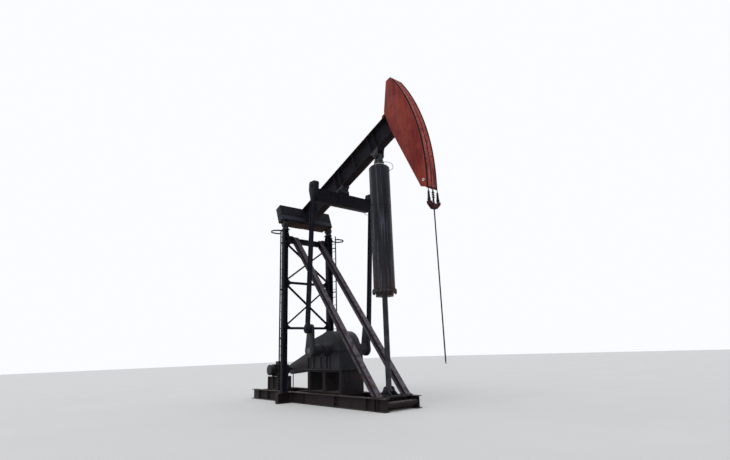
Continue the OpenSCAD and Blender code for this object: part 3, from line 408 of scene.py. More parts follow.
class Finishes:
    """All the finishes of the machine, each built once."""

    def __init__(self) -> None:
        """Builds the materials."""
        # Black enamel on the wirelines' forged sockets: near black, a little blue.
        self.black = WornEnamel("black_enamel", "#101118", "#191a22").build()
        # Enamel on the tower's and pitmans' rolled steel: blue-black, cleaner than what lies lower.
        self.post = WornEnamel("post_enamel", "#121320", "#1c1d28", rusted=0.4, dusty=0.35,
                               streak_and_sheen="#23242e", level=0.08).build()
        # The legs lie in the rain: their upper side is pale grey, partly chalky dust and partly
        # painted light on the faces that look up, with brown rust in patches.
        self.leg = WornEnamel("leg_enamel_dust_and_painted_top_light", "#17171d", "#232227", dust="#6a646c", dusty=0.9,
                              dust_from=0.1, dust_full=0.6, rusted=0.48, rust="#3c2a27",
                              spot_mm=160.0).build()
        # Enamel on the beam's welded plates: very dark and even, brown underneath with oily grime.
        self.beam = WornEnamel("beam_enamel", "#0b0c13", "#14151d", under="#241817", grimy=0.8,
                               rust="#33201f", streak_and_sheen="#1f202a", dusty=0.3, level=0.06,
                               edge="#4a3a38").build()
        # The box over the posts: a paler weathered band along its face, and blue-grey ends.
        self.box = WornEnamel("cross_box_enamel", "#090a12", "#12131d", under="#38251f",
                              grimy=0.95, dusty=0.3, rust="#33201f", streak_and_sheen="#1d1f2a",
                              level=0.06, band=(6.1547, 6.3447), tilt=20.5, end_coat="#2a3138",
                              edge="#5b4a48").build()
        # Enamel on the skid: grey-brown with dried mud, rusty where feet and tools have been.
        self.skid = WornEnamel("skid_enamel", "#18181b", "#272424", rusted=0.46, dusty=0.8,
                               dust="#5c5653").build()
        # Enamel on the castings: smoother and a little shinier from oil mist.
        self.machine = WornEnamel("machine_enamel", "#16171c", "#212227", rusted=0.36, matt=0.42,
                                  level=0.2).build()
        # Enamel on the tank's rolled shell: black, with long pale blue-grey streaks and patches
        # that are partly rain streaks and partly a painted sheen, and a brown stain that has run
        # down its lower end.
        self.tank = WornEnamel("tank_enamel_streaks_and_sheen", "#090b0f", "#1e2128", rust="#2e2122",
                               rusted=0.42, streak_and_sheen_share=0.95, streak_and_sheen="#434754", streak_mm=75.0,
                               matt=0.34, patch_mm=800.0, dusty=0.3, level=0.14,
                               stain=(3.3, 4.5), stain_coat="#33241f").build()
        # Enamel on the rod's clamps: so oily and rusty that the red hardly shows.
        self.clamp = WornEnamel("dark_clamp_enamel", "#1a1114", "#2b1a1d", rust="#3a2020",
                                rusted=0.42, edge="#6a4446", edge_mm=8.0).build()
        # Red-brown enamel on the horsehead's sides: bleached towards orange, with paler runs.
        self.horsehead = WornEnamel("faded_red_brown_enamel", "#641c1e", "#86382a",
                                    dust="#854a40", under="#4a2119", rust="#4f2119",
                                    edge="#96584d", streak_and_sheen_share=0.5, streak_and_sheen="#8c3d31", rusted=0.38,
                                    dusty=0.3).build()
        # The same red on the curved face, darkened as painted shadow of the wirelines.
        self.face = WornEnamel("face_enamel_painted_shadow", "#361315", "#47191b", dust="#5c2b27",
                               under="#3a191d", rust="#35151a", edge="#2b1214", rusted=0.46,
                               streak_and_sheen_share=0.6, streak_and_sheen="#7c3230").build()
        # The wear strips on that face: rubbed to a pale pinkish red, darker at their lower end,
        # with paler streaks that are painted highlights.
        self.strip = WornEnamel("worn_strip_enamel_and_highlights", "#863430", "#9c4740", dust="#9a544a",
                                under="#7c3533", rust="#4c1f20", edge="#b07a70", rusted=0.44,
                                streak_and_sheen_share=0.85, streak_and_sheen="#b4665e", streak_mm=48.0,
                                stain=(6.3, 7.5), stain_coat="#5c2225").build()
        # Red enamel on the carrier: pinkish along every edge, partly chipped to the undercoat and
        # partly painted highlights where the edges catch the light.
        self.carrier = WornEnamel("carrier_enamel_chips_and_highlights", "#3a191b", "#5a2a2c", rust="#1c1214",
                                  edge="#a4686a", dust="#8f5f5c", rusted=0.47, worn=0.9,
                                  edge_mm=12.0, spot_mm=60.0).build()
        # Enamel on the ladders' thin bars: even and dull.
        self.rail = WornEnamel("ladder_enamel", "#131418", "#1e1f23", rusted=0.4, edge_mm=4.0,
                               worn=0.2, dusty=0.25).build()
        # Zinc-plated bolts under old paint: dull grey-brown, only half a metal to the eye.
        self.bolt = OiledSteel("zinc_gone_dull", "#35343a", "#1b1918", 0.8, 0.5, level=0.3,
                               metal=0.5).build()
        # The carrier's bolts: red paint rubbed thin on their heads.
        self.worn_bolt = OiledSteel("red_worn_bolt", "#8a5c58", "#4a2426", 0.7, 0.5, level=0.3,
                                    metal=0.3).build()
        # Arc welds under black paint: a rough bead, rustier than the plates beside it.
        self.weld = WornEnamel("painted_weld", "#1b1c21", "#2c2524", rusted=0.5,
                               edge_mm=3.0).build()
        # Arc welds at the face: their proud bead is painted paler than the red beside it, as a
        # highlight along the side plate's edge.
        self.red_weld = WornEnamel("red_weld_painted_highlight", "#8c443c", "#9c554b", dust="#a4665c",
                                   under="#6a2c28", rust="#4f2119", rusted=0.36,
                                   edge_mm=3.0).build()
        # Drawn and polished steel rod: dark grey with oil, a soft sheen along it.
        self.rod = OiledSteel("polished_rod_steel", "#36343a", "#1c1a1d", 0.7, metal=0.7).build()
        # Ground steel of the piston rod, darker under thick oil.
        self.piston = OiledSteel("oiled_piston_steel", "#2e2e34", "#121216", 0.75, 0.32,
                                 metal=0.6).build()
        # Turned steel of the cranks' shaft: bare and grey.
        self.shaft = OiledSteel("shaft_steel", "#5c5b60", "#262423", 0.65, 0.38).build()
        # Greased steel wire: almost black, and no longer shiny.
        self.rope = OiledSteel("greased_wire", "#1e1c1e", "#100e0f", 0.7, 0.6, 6.0, level=0.2,
                               metal=0.2).build()
        # Drawn steel tube of the thin lines: dull grey.
        self.tube = OiledSteel("dull_air_line", "#3a3b42", "#1a1a1e", roughness=0.4,
                               metal=0.5).build()
        # Pale sealant on the neck's joint: off-white, dusty. The same pale rings the lifting eyes,
        # as painted light where the sky shows through them.
        self.pale = WornEnamel("pale_sealant_and_painted_light", "#efece7", "#dad6d0", rusted=0.25, streak_and_sheen_share=0.1,
                               edge_mm=2.0, grimy=0.1).build()
        self.rubber = DustyRubber().build()


class Workshop:
    """Turns bmeshes and CAD nodes into finished pieces of the machine."""

    def __init__(self, frame: dict) -> None:
        """Keeps the frame.
        """
        record = frame["record"]
        self.frame = frame
        self.body_of = {n: body for body, nodes in record["behaviour"]["bodies"].items()
                        for n in nodes}
        self.slot_of = {part["node"]: part["material_slot"] for part in record["subparts"]}
        self.finish = Finishes()

    def piece(self, name: str, bm: bmesh.types.BMesh, material: bpy.types.Material, slot: str,
              smooth: float = 32.0) -> bpy.types.Object:
        """Makes an object from a bmesh.

        Args:
            name: The piece's name.
            bm: Its shape, which is freed.
            material: Its finish.
            slot: The record's slot; it is not used.
            smooth: Edges sharper than this angle stay sharp.

        Returns:
            The object.
        """
        mesh = bpy.data.meshes.new(name)
        bm.to_mesh(mesh)
        bm.free()
        mesh.shade_smooth()
        mesh.set_sharp_from_angle(angle=math.radians(smooth))
        mesh.materials.append(material)
        obj = bpy.data.objects.new(name, mesh)
        bpy.context.scene.collection.objects.link(obj)
        LOG.info("%s: %d faces", name, len(mesh.polygons))
        return obj

    def riding(self, name: str, bm: bmesh.types.BMesh, material: bpy.types.Material, slot: Slot,
               body: str, smooth: float = 32.0) -> bpy.types.Object:
        """Makes an object from a bmesh and lets it ride on a body.

        Args:
            name: The piece's name.
            bm: Its shape, which is freed.
            material: Its finish.
            slot: The record's slot.
            body: The body that carries it.
            smooth: Edges sharper than this angle stay sharp.

        Returns:
            The object.
        """
        bmesh.ops.recalc_face_normals(bm, faces=bm.faces)
        obj = self.piece(name, bm, material, slot.value, smooth)
        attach(obj, body)
        return obj

    def dress(self, node: str, material: bpy.types.Material, bevel_mm: float = 3.0,
              shape: Callable[[bmesh.types.BMesh], None] | None = None) -> bpy.types.Object:
        """Replaces a CAD node by a merged copy with its sharp edges broken.

        Args:
            node: The CAD node.
            material: Its finish.
            bevel_mm: Width of the broken edges, or 0 for none.
            shape: Reworks the copy before its edges are broken.

        Returns:
            The piece.
        """
        bm = bmesh.new()
        bm.from_mesh(self.frame["nodes"][node].data)
        bmesh.ops.remove_doubles(bm, verts=bm.verts, dist=SAME_POINT)
        bmesh.ops.dissolve_limit(bm, angle_limit=FLAT, verts=bm.verts, edges=bm.edges)
        if shape:
            shape(bm)
        if bevel_mm:
            sharp = [e for e in bm.edges
                     if len(e.link_faces) == 2 and e.calc_face_angle(0.0) > SHARP]
            bmesh.ops.bevel(bm, geom=sharp, offset=bevel_mm * MM, offset_type="OFFSET", segments=2,
                            profile=0.5, affect="EDGES", clamp_overlap=True, material=-1)
            bmesh.ops.dissolve_degenerate(bm, dist=SLIVER, edges=bm.edges)
        obj = self.piece("dressed_" + node, bm, material, self.slot_of[node])
        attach(obj, self.body_of[node])
        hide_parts(node)
        return obj


def turn_to(axis: Point) -> Matrix:
    """Gives the turn that takes Z to an axis."""
    return Vector(UP).rotation_difference(Vector(axis).normalized()).to_matrix().to_4x4()


def bolt(bm: bmesh.types.BMesh, at: Point, axis: Point, size_mm: float) -> None:
    """Adds a washer, a hexagon head and the rounded end of the stud.

    Args:
        bm: The mesh that gets it.
        at: Where the bolt meets the surface.
        axis: The way it stands out.
        size_mm: Width across the head.
    """
    place = Matrix.Translation(Vector(at)) @ turn_to(axis)
    size = size_mm * MM
    # Washer, head and stud: corners, then lower and upper radius and ends, in widths of the head
    for corners, r1, r2, low, high in ((14, 0.68, 0.66, -0.05, 0.12), (6, 0.55, 0.52, 0.1, 0.62),
                                       (8, 0.3, 0.22, 0.6, 0.9)):
        seat = place @ Matrix.Translation((0, 0, (low + high) * size / 2))
        bmesh.ops.create_cone(bm, cap_ends=True, segments=corners, radius1=r1 * size,
                              radius2=r2 * size, depth=(high - low) * size, matrix=seat)


def bar(bm: bmesh.types.BMesh, start: Point, end: Point, r_mm: float, sides: int = 6) -> None:
    """Adds a straight round bar between two points.

    Args:
        bm: The mesh that gets it.
        start: One end.
        end: The other end.
        r_mm: Its radius.
        sides: Its corners.
    """
    a, b = Vector(start), Vector(end)
    bmesh.ops.create_cone(bm, cap_ends=True, segments=sides, radius1=r_mm * MM, radius2=r_mm * MM,
                          depth=(b - a).length,
                          matrix=Matrix.Translation((a + b) / 2) @ turn_to(b - a))


def ring(bm: bmesh.types.BMesh, centre: Point, axis: Point, radius: float, bead_mm: float,
         steps: int, sides: int = 6) -> None:
    """Adds a round bead bent to a full circle.

    Args:
        bm: The mesh that gets it.
        centre: The circle's centre.
        axis: Its axis.
        radius: Its radius in metres.
        bead_mm: Radius of the bead.
        steps: Steps round the circle.
        sides: Corners of the bead.
    """
    turn = turn_to(axis)
    out = turn @ Vector((1, 0, 0))
    upright = Matrix.Rotation(math.pi / 2, 4, "X")
    seat = Matrix.Translation(Vector(centre) + out * radius) @ turn @ upright
    made = bmesh.ops.create_circle(bm, cap_ends=False, segments=sides, radius=bead_mm * MM,
                                   matrix=seat)
    edges = list({e for v in made["verts"] for e in v.link_edges})
    bmesh.ops.spin(bm, geom=made["verts"] + edges, cent=Vector(centre), axis=turn @ Vector(UP),
                   angle=math.tau, steps=steps, use_merge=True)


def turned(bm: bmesh.types.BMesh, centre: Point, axis: Point,
           profile: Iterable[tuple[float, float]], steps: int = 32,
           angle: float = math.tau) -> None:
    """Adds a piece turned from a closed profile.

    Args:
        bm: The mesh that gets it.
        centre: A point on the axis.
        axis: The axis.
        profile: Corners as distance from the axis and height along it.
        steps: Steps round the axis.
        angle: How far round it goes; less than a full turn gets closed ends.
    """
    place = Matrix.Translation(Vector(centre)) @ turn_to(axis)
    corners = [bm.verts.new(place @ Vector((r, 0, h))) for r, h in profile]
    edges = [bm.edges.new((a, b)) for a, b in zip(corners, corners[1:] + corners[:1])]
    full = angle > math.tau - 0.001
    made = bmesh.ops.spin(bm, geom=corners + edges, cent=Vector(centre),
                          axis=place.to_3x3() @ Vector(UP), angle=angle, steps=steps,
                          use_merge=full)
    if not full:
        last = [g for g in made["geom_last"] if isinstance(g, bmesh.types.BMEdge)]
        for loop in (edges, last):
            bmesh.ops.edgeloop_fill(bm, edges=loop)


def sweep(bm: bmesh.types.BMesh, points: Sequence[Point], r_mm: float, sides: int = 8,
          twist: float = 0.0, lobes: float = 0.0) -> None:
    """Sweeps a round or lobed section along points, with closed ends.

    Args:
        bm: The mesh that gets it.
        points: The route.
        r_mm: The section's radius.
        sides: Its corners.
        twist: Turn at each step, in degrees.
        lobes: How far every second corner lies in, as a share of the radius.
    """
    route = [Vector(p) for p in points]
    loop = bmesh.ops.create_circle(bm, cap_ends=True, segments=sides, radius=r_mm * MM)["verts"]
    for v in loop[1::2]:
        v.co *= 1 - lobes
    ahead = (route[1] - route[0]).normalized()
    seat = Matrix.Translation(route[0]) @ turn_to(ahead)
    bmesh.ops.transform(bm, matrix=seat, verts=loop)
    last = loop[0].link_faces[0]
    for k in range(1, len(route)):
        behind = last
        grown = bmesh.ops.extrude_face_region(bm, geom=[behind])
        last = [g for g in grown["geom"] if isinstance(g, bmesh.types.BMFace)][0]
        if k > 1:
            bmesh.ops.delete(bm, geom=[behind], context="FACES_ONLY")
        onward = (route[min(k + 1, len(route) - 1)] - route[k - 1]).normalized()
        bend = ahead.rotation_difference(onward).to_matrix().to_4x4()
        spin = Matrix.Rotation(math.radians(twist), 4, onward)
        move = Matrix.Translation(route[k]) @ spin @ bend @ Matrix.Translation(-route[k - 1])
        bmesh.ops.transform(bm, matrix=move, verts=last.verts)
        ahead = onward


@dataclass(frozen=True)
class Bolts:
    """Equal bolts at every crossing of the listed places, the same on both sides."""

    x: tuple[float, ...]
    y: tuple[float, ...]
    z: tuple[float, ...]
    size_mm: float
    axis: tuple[float, float, float] = UP

    def build(self, bm: bmesh.types.BMesh) -> None:
        """Adds them; the fields give the left side's places and axis.

        Args:
            bm: The mesh that gets them.
        """
        along, across, up = self.axis
        for side, x, y, z in product(SIDES, self.x, self.y, self.z):
            bolt(bm, (x, side * y, z), (along, side * across, up), self.size_mm)


@dataclass(frozen=True)
class Wireline:
    """A laid steel rope, whose strands show as lobes that wind round it."""

    y: float = 0.185
    r_mm: float = 14.0
    sides: int = 12
    twist: float = 24.0
    lobes: float = 0.22
    smooth: float = 60.0

    def lay(self, bm: bmesh.types.BMesh, route: Sequence[Point]) -> None:
        """Lays a length of it along a route."""
        sweep(bm, route, self.r_mm, self.sides, self.twist, self.lobes)


@dataclass(frozen=True)
class ViewPoint:
    """Where the machine is seen from: a low place ahead of it and to its right."""

    place: tuple[float, float, float] = (14.83, -9.49, 1.60)
    heading: float = 140.0
    pitch: float = 14.9
    roll: float = -2.0
    lens: float = 22.68
    sensor: float = 36.0
    reach: float = 200.0

    def build(self) -> bpy.types.Object:
        """Makes the camera and sets it as the scene's.

        Returns:
            The camera's object.
        """
        heading, pitch, roll = (math.radians(a) for a in (self.heading, self.pitch, self.roll))
        level = math.cos(pitch)
        ahead = Vector((math.cos(heading) * level, math.sin(heading) * level, math.sin(pitch)))
        right = Vector((math.sin(heading), -math.cos(heading), 0.0))
        up = right.cross(ahead)
        side = math.cos(roll) * right + math.sin(roll) * up
        top = -math.sin(roll) * right + math.cos(roll) * up
        data = bpy.data.cameras.new("view_camera")
        data.sensor_width = self.sensor
        data.lens = self.lens
        data.clip_end = self.reach
        camera = bpy.data.objects.new("view_camera", data)
        turn = Matrix((side, top, -ahead)).transposed()
        camera.matrix_world = Matrix.Translation(self.place) @ turn.to_4x4()
        bpy.context.scene.collection.objects.link(camera)
        bpy.context.scene.camera = camera
        return camera


@dataclass(frozen=True)
class Studio:
    """Plain pale floor under an even, slightly cool sky light."""

    sky: str = "#f2f5fb"
    sky_strength: float = 0.62
    seen_sky: str = "#fbfcff"
    floor: str = "#d8d8d6"
    floor_pale: str = "#e2e2e0"
    floor_half: float = 90.0
    # Real screed is finer, and its grain is drawn this coarse to show.
    floor_grain_mm: float = 900.0
    floor_patch_mm: float = 2600.0
    key_power: float = 1.15
    key_turn: tuple[float, float, float] = (38.0, 12.0, 18.0)
    key_spread: float = 40.0
    fill_power: float = 0.35
    fill_turn: tuple[float, float, float] = (50.0, -30.0, -35.0)
    fill_spread: float = 70.0

    def build(self) -> None:
        """Makes the floor, the world and the lamps."""
        self.make_floor()
        self.make_world()
        self.make_lamp("key_light", self.key_power, self.key_turn, self.key_spread)
        self.make_lamp("fill_light", self.fill_power, self.fill_turn, self.fill_spread)
        bpy.context.scene.view_settings.view_transform = "Standard"

    def make_floor(self) -> None:
        """Makes the floor of smooth pale screed, with its faint unevenness."""
        bm = bmesh.new()
        bmesh.ops.create_grid(bm, x_segments=4, y_segments=4, size=self.floor_half)
        mesh = bpy.data.meshes.new("plain_floor")
        bm.to_mesh(mesh)
        bm.free()
        p = Pattern("pale_floor")
        rough = p.mask(p.noise(self.floor_grain_mm), 0.0, 1.0, 0.95)
        shade = p.mix(p.mask(p.noise(self.floor_patch_mm, shift=2.0), 0.3, 0.7, 0.25),
                      self.floor, self.floor_pale)
        mesh.materials.append(p.close(shade, p.join("MAXIMUM", rough, 0.8), rough, 0.4, level=0.2))
        floor = bpy.data.objects.new("plain_floor", mesh)
        bpy.context.scene.collection.objects.link(floor)

    def make_world(self) -> None:
        """Makes the sky: white to the camera and in reflections, softer as a light."""
        world = bpy.data.worlds.new("pale_sky")
        bpy.context.scene.world = world
        world.use_nodes = True
        tree = world.node_tree
        tree.nodes.clear()
        rays = add(tree, "LightPath")
        seen = rays.outputs["Is Camera Ray"]
        for kind in ("Is Glossy Ray", "Is Transmission Ray"):
            seen = add(tree, "Math", {0: seen, 1: rays.outputs[kind]},
                       operation="MAXIMUM").outputs[0]
        light = add(tree, "Background", {"Color": linear(self.sky), "Strength": self.sky_strength})
        white = add(tree, "Background", {"Color": linear(self.seen_sky), "Strength": 1.0})
        both = add(tree, "MixShader", {0: seen, 1: light.outputs[0], 2: white.outputs[0]})
        out = add(tree, "OutputWorld")
        tree.links.new(both.outputs[0], out.inputs[0])

    def make_lamp(self, name: str, power: float, turn: Point, spread: float) -> None:
        """Makes one broad lamp, far away.

        Args:
            name: The lamp's name.
            power: Its strength.
            turn: Its turn about X, Y and Z, in degrees.
            spread: How wide it looks from the machine, in degrees.
        """
        data = bpy.data.lights.new(name, "SUN")
        data.energy = power
        data.angle = math.radians(spread)
        lamp = bpy.data.objects.new(name, data)
        lamp.rotation_euler = [math.radians(a) for a in turn]
        bpy.context.scene.collection.objects.link(lamp)


@dataclass
class Frame:
    """The skid, the tower, its legs and its ladders."""

    shop: Workshop
    post_y: float = 0.99
    post_half: float = 0.09
    leg_y: float = 0.56
    foot_bolts: Bolts = Bolts((-0.1, 0.1), (0.89, 1.09), (0.375,), 34)
    cap_bolts: Bolts = Bolts((-0.115, 0.115), (0.94, 1.04), (6.235,), 34)
    keeper_bolts: Bolts = Bolts((-0.13, 0.13), (0.97, 1.01), (6.426,), 26)
    leg_bolts: Bolts = Bolts((4.36, 4.6), (0.48, 0.64), (0.375,), 34)
    leg_head_bolts: Bolts = Bolts((0.0873,), (0.46298, 0.65702), (5.66, 5.745, 5.83, 5.915), 20,
                                  (1, 0, 0))
    bracket_bolts: Bolts = Bolts((-0.06, 0.06), (1.0925,), (5.67, 3.92, 2.17), 20, (0, 1, 0))
    brace_face: float = 0.0145
    brace_bolt_mm: float = 22.0
    # Where the bracing's bolts stand, as y and z
    brace_spots: tuple[tuple[float, float], ...] = (
        (0.8524, 5.62), (0.8512, 5.56), (0.8548, 4.26), (0.8536, 4.32),
        (0.8588, 4.06), (0.8576, 4.12), (0.8536, 2.68), (0.8548, 2.74))
    knee_half: float = 0.006
    knee_low: float = 5.9
    knee_top: float = 6.17
    knee_foot: float = 5.895
    knee_end: float = 0.89
    post_weld_z: tuple[float, float] = (0.377, 6.174)
    bead_mm: float = 4.0
    post_bead_mm: float = 5.0

    def build(self) -> None:
        """Dresses the frame's nodes and adds its bolts and welds."""
        shop, finish = self.shop, self.shop.finish
        for node in ("skid_rails", "skid_cross_members"):
            shop.dress(node, finish.skid, 4)
        for side in ("left", "right"):
            shop.dress("tower_post_" + side, finish.post)
            shop.dress("front_leg_" + side, finish.leg)
            shop.dress("post_bearing_" + side, finish.machine, 5)
            shop.dress("ladder_" + side, finish.rail, 1.5)
        shop.dress("tower_cross_beam", finish.post)
        shop.dress("tower_horizontals", finish.post, 2)
        shop.dress("tower_braces", finish.post, 1.5)
        self.fasten()
        self.weld()

    def fasten(self) -> None:
        """Adds the bolts of the posts' feet and caps, the bearings, legs, brackets and bracing."""
        bm = bmesh.new()
        for bolts in (self.foot_bolts, self.cap_bolts, self.keeper_bolts, self.leg_bolts,
                      self.leg_head_bolts, self.bracket_bolts):
            bolts.build(bm)
        for side, way, (y, z) in product(SIDES, SIDES, self.brace_spots):
            bolt(bm, (way * self.brace_face, side * y, z), (way, 0, 0), self.brace_bolt_mm)
        self.shop.riding("frame_bolts", bm, self.shop.finish.bolt, Slot.BLACK, "frame")

    def weld(self) -> None:
        """Adds the weld beads where the tower's plates meet its posts and beams."""
        bm = bmesh.new()
        near, far = self.post_y - self.post_half, self.post_y + self.post_half
        for side, way in product(SIDES, SIDES):
            x = way * self.knee_half
            bar(bm, (x, side * near, self.knee_low), (x, side * near, self.knee_top), self.bead_mm)
            bar(bm, (x, side * self.leg_y, self.knee_foot),
                (x, side * self.knee_end, self.knee_foot), self.bead_mm)
            x = way * self.post_half
            for z in self.post_weld_z:
                bar(bm, (x, side * near, z), (x, side * far, z), self.post_bead_mm)
        self.shop.riding("frame_welds", bm, self.shop.finish.weld, Slot.BLACK, "frame")


@dataclass
class Drive:
    """The gear reducer, its belts, motor and brake, and the cranks."""

    shop: Workshop
    crank_x: float = 1.95
    crank_z: float = 1.72
    fast_x: float = 1.1
    shaft_play_mm: float = 0.9
    shaft_chamfer_mm: float = 6.0
    shaft_sides: int = 96
    case_bolts: Bolts = Bolts(tuple(0.70 + 0.176 * k for k in range(12)), (0.463,), (1.755,), 28)
    base_bolts: Bolts = Bolts(tuple(0.68 + 0.33 * k for k in range(7)), (0.463,), (1.1153,), 32)
    cover_y: float = 0.69
    cover_r: float = 0.16
    cover_first: float = 0.2
    cover_bolts: int = 8
    cover_bolt_mm: float = 24.0
    brake_y: float = -0.675
    brake_r: float = 0.145
    brake_bolts: int = 10
    brake_bolt_mm: float = 14.0

    def build(self) -> None:
        """Dresses the drive's nodes and adds its shaft and bolts."""
        shop, finish = self.shop, self.shop.finish
        shop.dress("reducer_pedestal", finish.skid, 4)
        for node in ("gear_reducer", "motor", "brake_drum", "piston_foot"):
            shop.dress(node, finish.machine, 4)
        shop.dress("motor_rails", finish.skid, 3)
        shop.dress("belt_guard", finish.machine, 1)
        shop.dress("reducer_sheave", finish.machine, 0)
        shop.dress("motor_sheave", finish.machine, 0)
        shop.dress("drive_belts", finish.rubber, 0)
        for side in ("left", "right"):
            shop.dress("crank_" + side, finish.machine, 6)
        self.turn_shaft()
        self.fasten()

    def turn_shaft(self) -> None:
        """Makes the slow shaft anew, round enough to turn in its bore, with chamfered ends."""
        low, high = (Vector(corner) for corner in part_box("crank_shaft"))
        radius = (high.z - low.z) / 2 - self.shaft_play_mm * MM
        bm = bmesh.new()
        bmesh.ops.create_cone(bm, cap_ends=True, segments=self.shaft_sides, radius1=radius,
                              radius2=radius, depth=high.y - low.y,
                              matrix=Matrix.Translation((low + high) / 2) @ turn_to((0, 1, 0)))
        rims = [e for e in bm.edges if e.calc_face_angle(0.0) > RIM]
        bmesh.ops.bevel(bm, geom=rims, offset=self.shaft_chamfer_mm * MM, offset_type="OFFSET",
                        segments=1, profile=0.5, affect="EDGES", clamp_overlap=True, material=-1)
        shaft = self.shop.riding("turned_crank_shaft", bm, self.shop.finish.shaft, Slot.STEEL,
                                 "cranks")
        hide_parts("crank_shaft")

    def fasten(self) -> None:
        """Adds the bolts of the case, its covers and the brake."""
        bm = bmesh.new()
        self.case_bolts.build(bm)
        self.base_bolts.build(bm)
        for side, k in product(SIDES, range(self.cover_bolts)):
            a = k * math.tau / self.cover_bolts + self.cover_first
            bolt(bm, (self.crank_x + self.cover_r * math.cos(a), side * self.cover_y,
                      self.crank_z + self.cover_r * math.sin(a)), (0, side, 0),
                 self.cover_bolt_mm)
        for k in range(self.brake_bolts):
            a = k * math.tau / self.brake_bolts
            bolt(bm, (self.fast_x + self.brake_r * math.cos(a), self.brake_y,
                      self.crank_z + self.brake_r * math.sin(a)), (0, -1, 0), self.brake_bolt_mm)
        self.shop.riding("drive_bolts", bm, self.shop.finish.bolt, Slot.BLACK, "frame")


@dataclass
class Beam:
    """The walking beam with its cross box, bearings, horsehead and wirelines.

    The rise, the travel, the face's two ends, the gaps and what is spared are in degrees.
    """

    shop: Workshop
    pivot_z: float = 6.4
    rise: float = 20.5
    travel: float = 31.8
    # Bolts under the beam as u and v, at each of the places across it
    hanger_spots: tuple[tuple[float, float], ...] = (
        (2.295, -0.0103), (2.705, -0.0103), (4.405, 0.0197), (4.795, 0.0197))
    hanger_y: tuple[float, ...] = (-0.12, 0.0, 0.12)
    hanger_bolt_mm: float = 28.0
    end_y: float = 0.115
    end_v: tuple[float, ...] = (0.13, 0.28, 0.43, 0.58, 0.72)
    end_u: tuple[float, float] = (0.1603, 5.5747)
    end_bolt_mm: float = 30.0
    box_face: float = 0.147
    box_y: tuple[float, ...] = (0.28, 0.52, 0.76, 1.0)
    box_v: tuple[float, ...] = (0.33, 0.19)
    box_bolt_mm: float = 22.0
    box_half: float = 1.15
    box_edge_u: tuple[float, float] = (-0.185, 0.135)
    box_edge_v: tuple[float, float] = (0.152, 0.8)
    flange_y: float = 0.16
    flange_v: tuple[float, float] = (0.06, 0.8)
    flange_u: float = 0.1355
    web_y: float = 0.011
    web_v: tuple[float, float] = (0.082, 0.768)
    web_u: tuple[float, float] = (0.17, 5.57)
    bead_mm: float = 4.0
    face_r: float = 6.5757
    face_low: float = -23.5
    face_high: float = 15.5
    head_half: float = 0.22
    face_bead_y: float = 0.2205
    face_bead_in: float = 0.016
    face_bead_spare: float = 0.3
    face_bead_mm: float = 8.0
    face_bead_steps: int = 40
    strip_y: tuple[float, float] = (0.025, 0.16)
    strip_sunk: float = 0.002
    strip_proud: float = 0.004
    strip_spare: float = 0.5
    strip_steps: int = 56
    # The lifting eyes, and the pale rings round them painted as the light showing through
    eye_u: float = 6.025
    eye_v: float = -2.332
    eye_r: tuple[float, float] = (0.024, 0.042)
    eye_sunk: float = 0.002
    eye_proud: float = 0.006
    eye_steps: int = 28
    rope: Wireline = Wireline()
    well: float = 6.59
    arcs: int = 14
    arc_steps: int = 8
    arc_gap: float = 0.01
    arc_spare: float = 1.0
    arc_sink: float = 0.0003

    def spot(self, u: float, y: float, v: float) -> Vector:
        """Turns a point along and square to the beam into the machine's frame.

        Args:
            u: Distance along the beam from its pivot.
            y: Distance to the left.
            v: Distance square to the beam.

        Returns:
            The point.
        """
        a = math.radians(self.rise)
        return Vector((u * math.cos(a) - v * math.sin(a), y,
                       self.pivot_z + u * math.sin(a) + v * math.cos(a)))

    def way(self, u: float, y: float, v: float) -> Vector:
        """Turns a direction given in the beam's frame into the machine's frame."""
        return self.spot(u, y, v) - self.spot(0, 0, 0)

    def build(self) -> None:
        """Dresses the beam's nodes and adds its bolts, welds, strips, the eyes' pale rings of
        painted light, and wirelines.
        """
        shop, finish = self.shop, self.shop.finish
        shop.dress("walking_beam", finish.beam, 4)
        shop.dress("cross_box", finish.box, 6)
        shop.dress("saddle_shafts", finish.machine, 4)
        shop.dress("equalizer_bearing", finish.machine, 5)
        shop.dress("tank_bearing", finish.machine, 5)
        shop.dress("horsehead", finish.horsehead, 3)
        shop.dress("horsehead_face", finish.face, 3)
        self.fasten()
        self.weld()
        self.weld_face()
        self.lay_strips()
        self.ring_eyes_with_painted_light()
        self.wrap()

    def fasten(self) -> None:
        """Adds the bolts of the joints along the beam."""
        bm = bmesh.new()
        down, front = self.way(0, 0, -1), self.way(1, 0, 0)
        for (u, v), y in product(self.hanger_spots, self.hanger_y):
            bolt(bm, self.spot(u, y, v), down, self.hanger_bolt_mm)
        for side, v in product(SIDES, self.end_v):
            for u, axis in zip(self.end_u, (front, -front)):
                bolt(bm, self.spot(u, side * self.end_y, v), axis, self.end_bolt_mm)
        for side, y, v in product(SIDES, self.box_y, self.box_v):
            bolt(bm, self.spot(self.box_face, side * y, v), front, self.box_bolt_mm)
        self.shop.riding("beam_bolts", bm, self.shop.finish.bolt, Slot.BLACK, "beam")

    def weld(self) -> None:
        """Adds the weld beads of the cross box and of the beam's web and flanges."""
        bm = bmesh.new()
        for u, v in product(self.box_edge_u, self.box_edge_v):
            bar(bm, self.spot(u, -self.box_half, v), self.spot(u, self.box_half, v), self.bead_mm)
        for side in SIDES:
            low, high = (self.spot(self.flange_u, side * self.flange_y, v) for v in self.flange_v)
            bar(bm, low, high, self.bead_mm)
            for v in self.web_v:
                near, far = (self.spot(u, side * self.web_y, v) for u in self.web_u)
                bar(bm, near, far, self.bead_mm)
        self.shop.riding("beam_welds", bm, self.shop.finish.weld, Slot.BLACK, "beam")

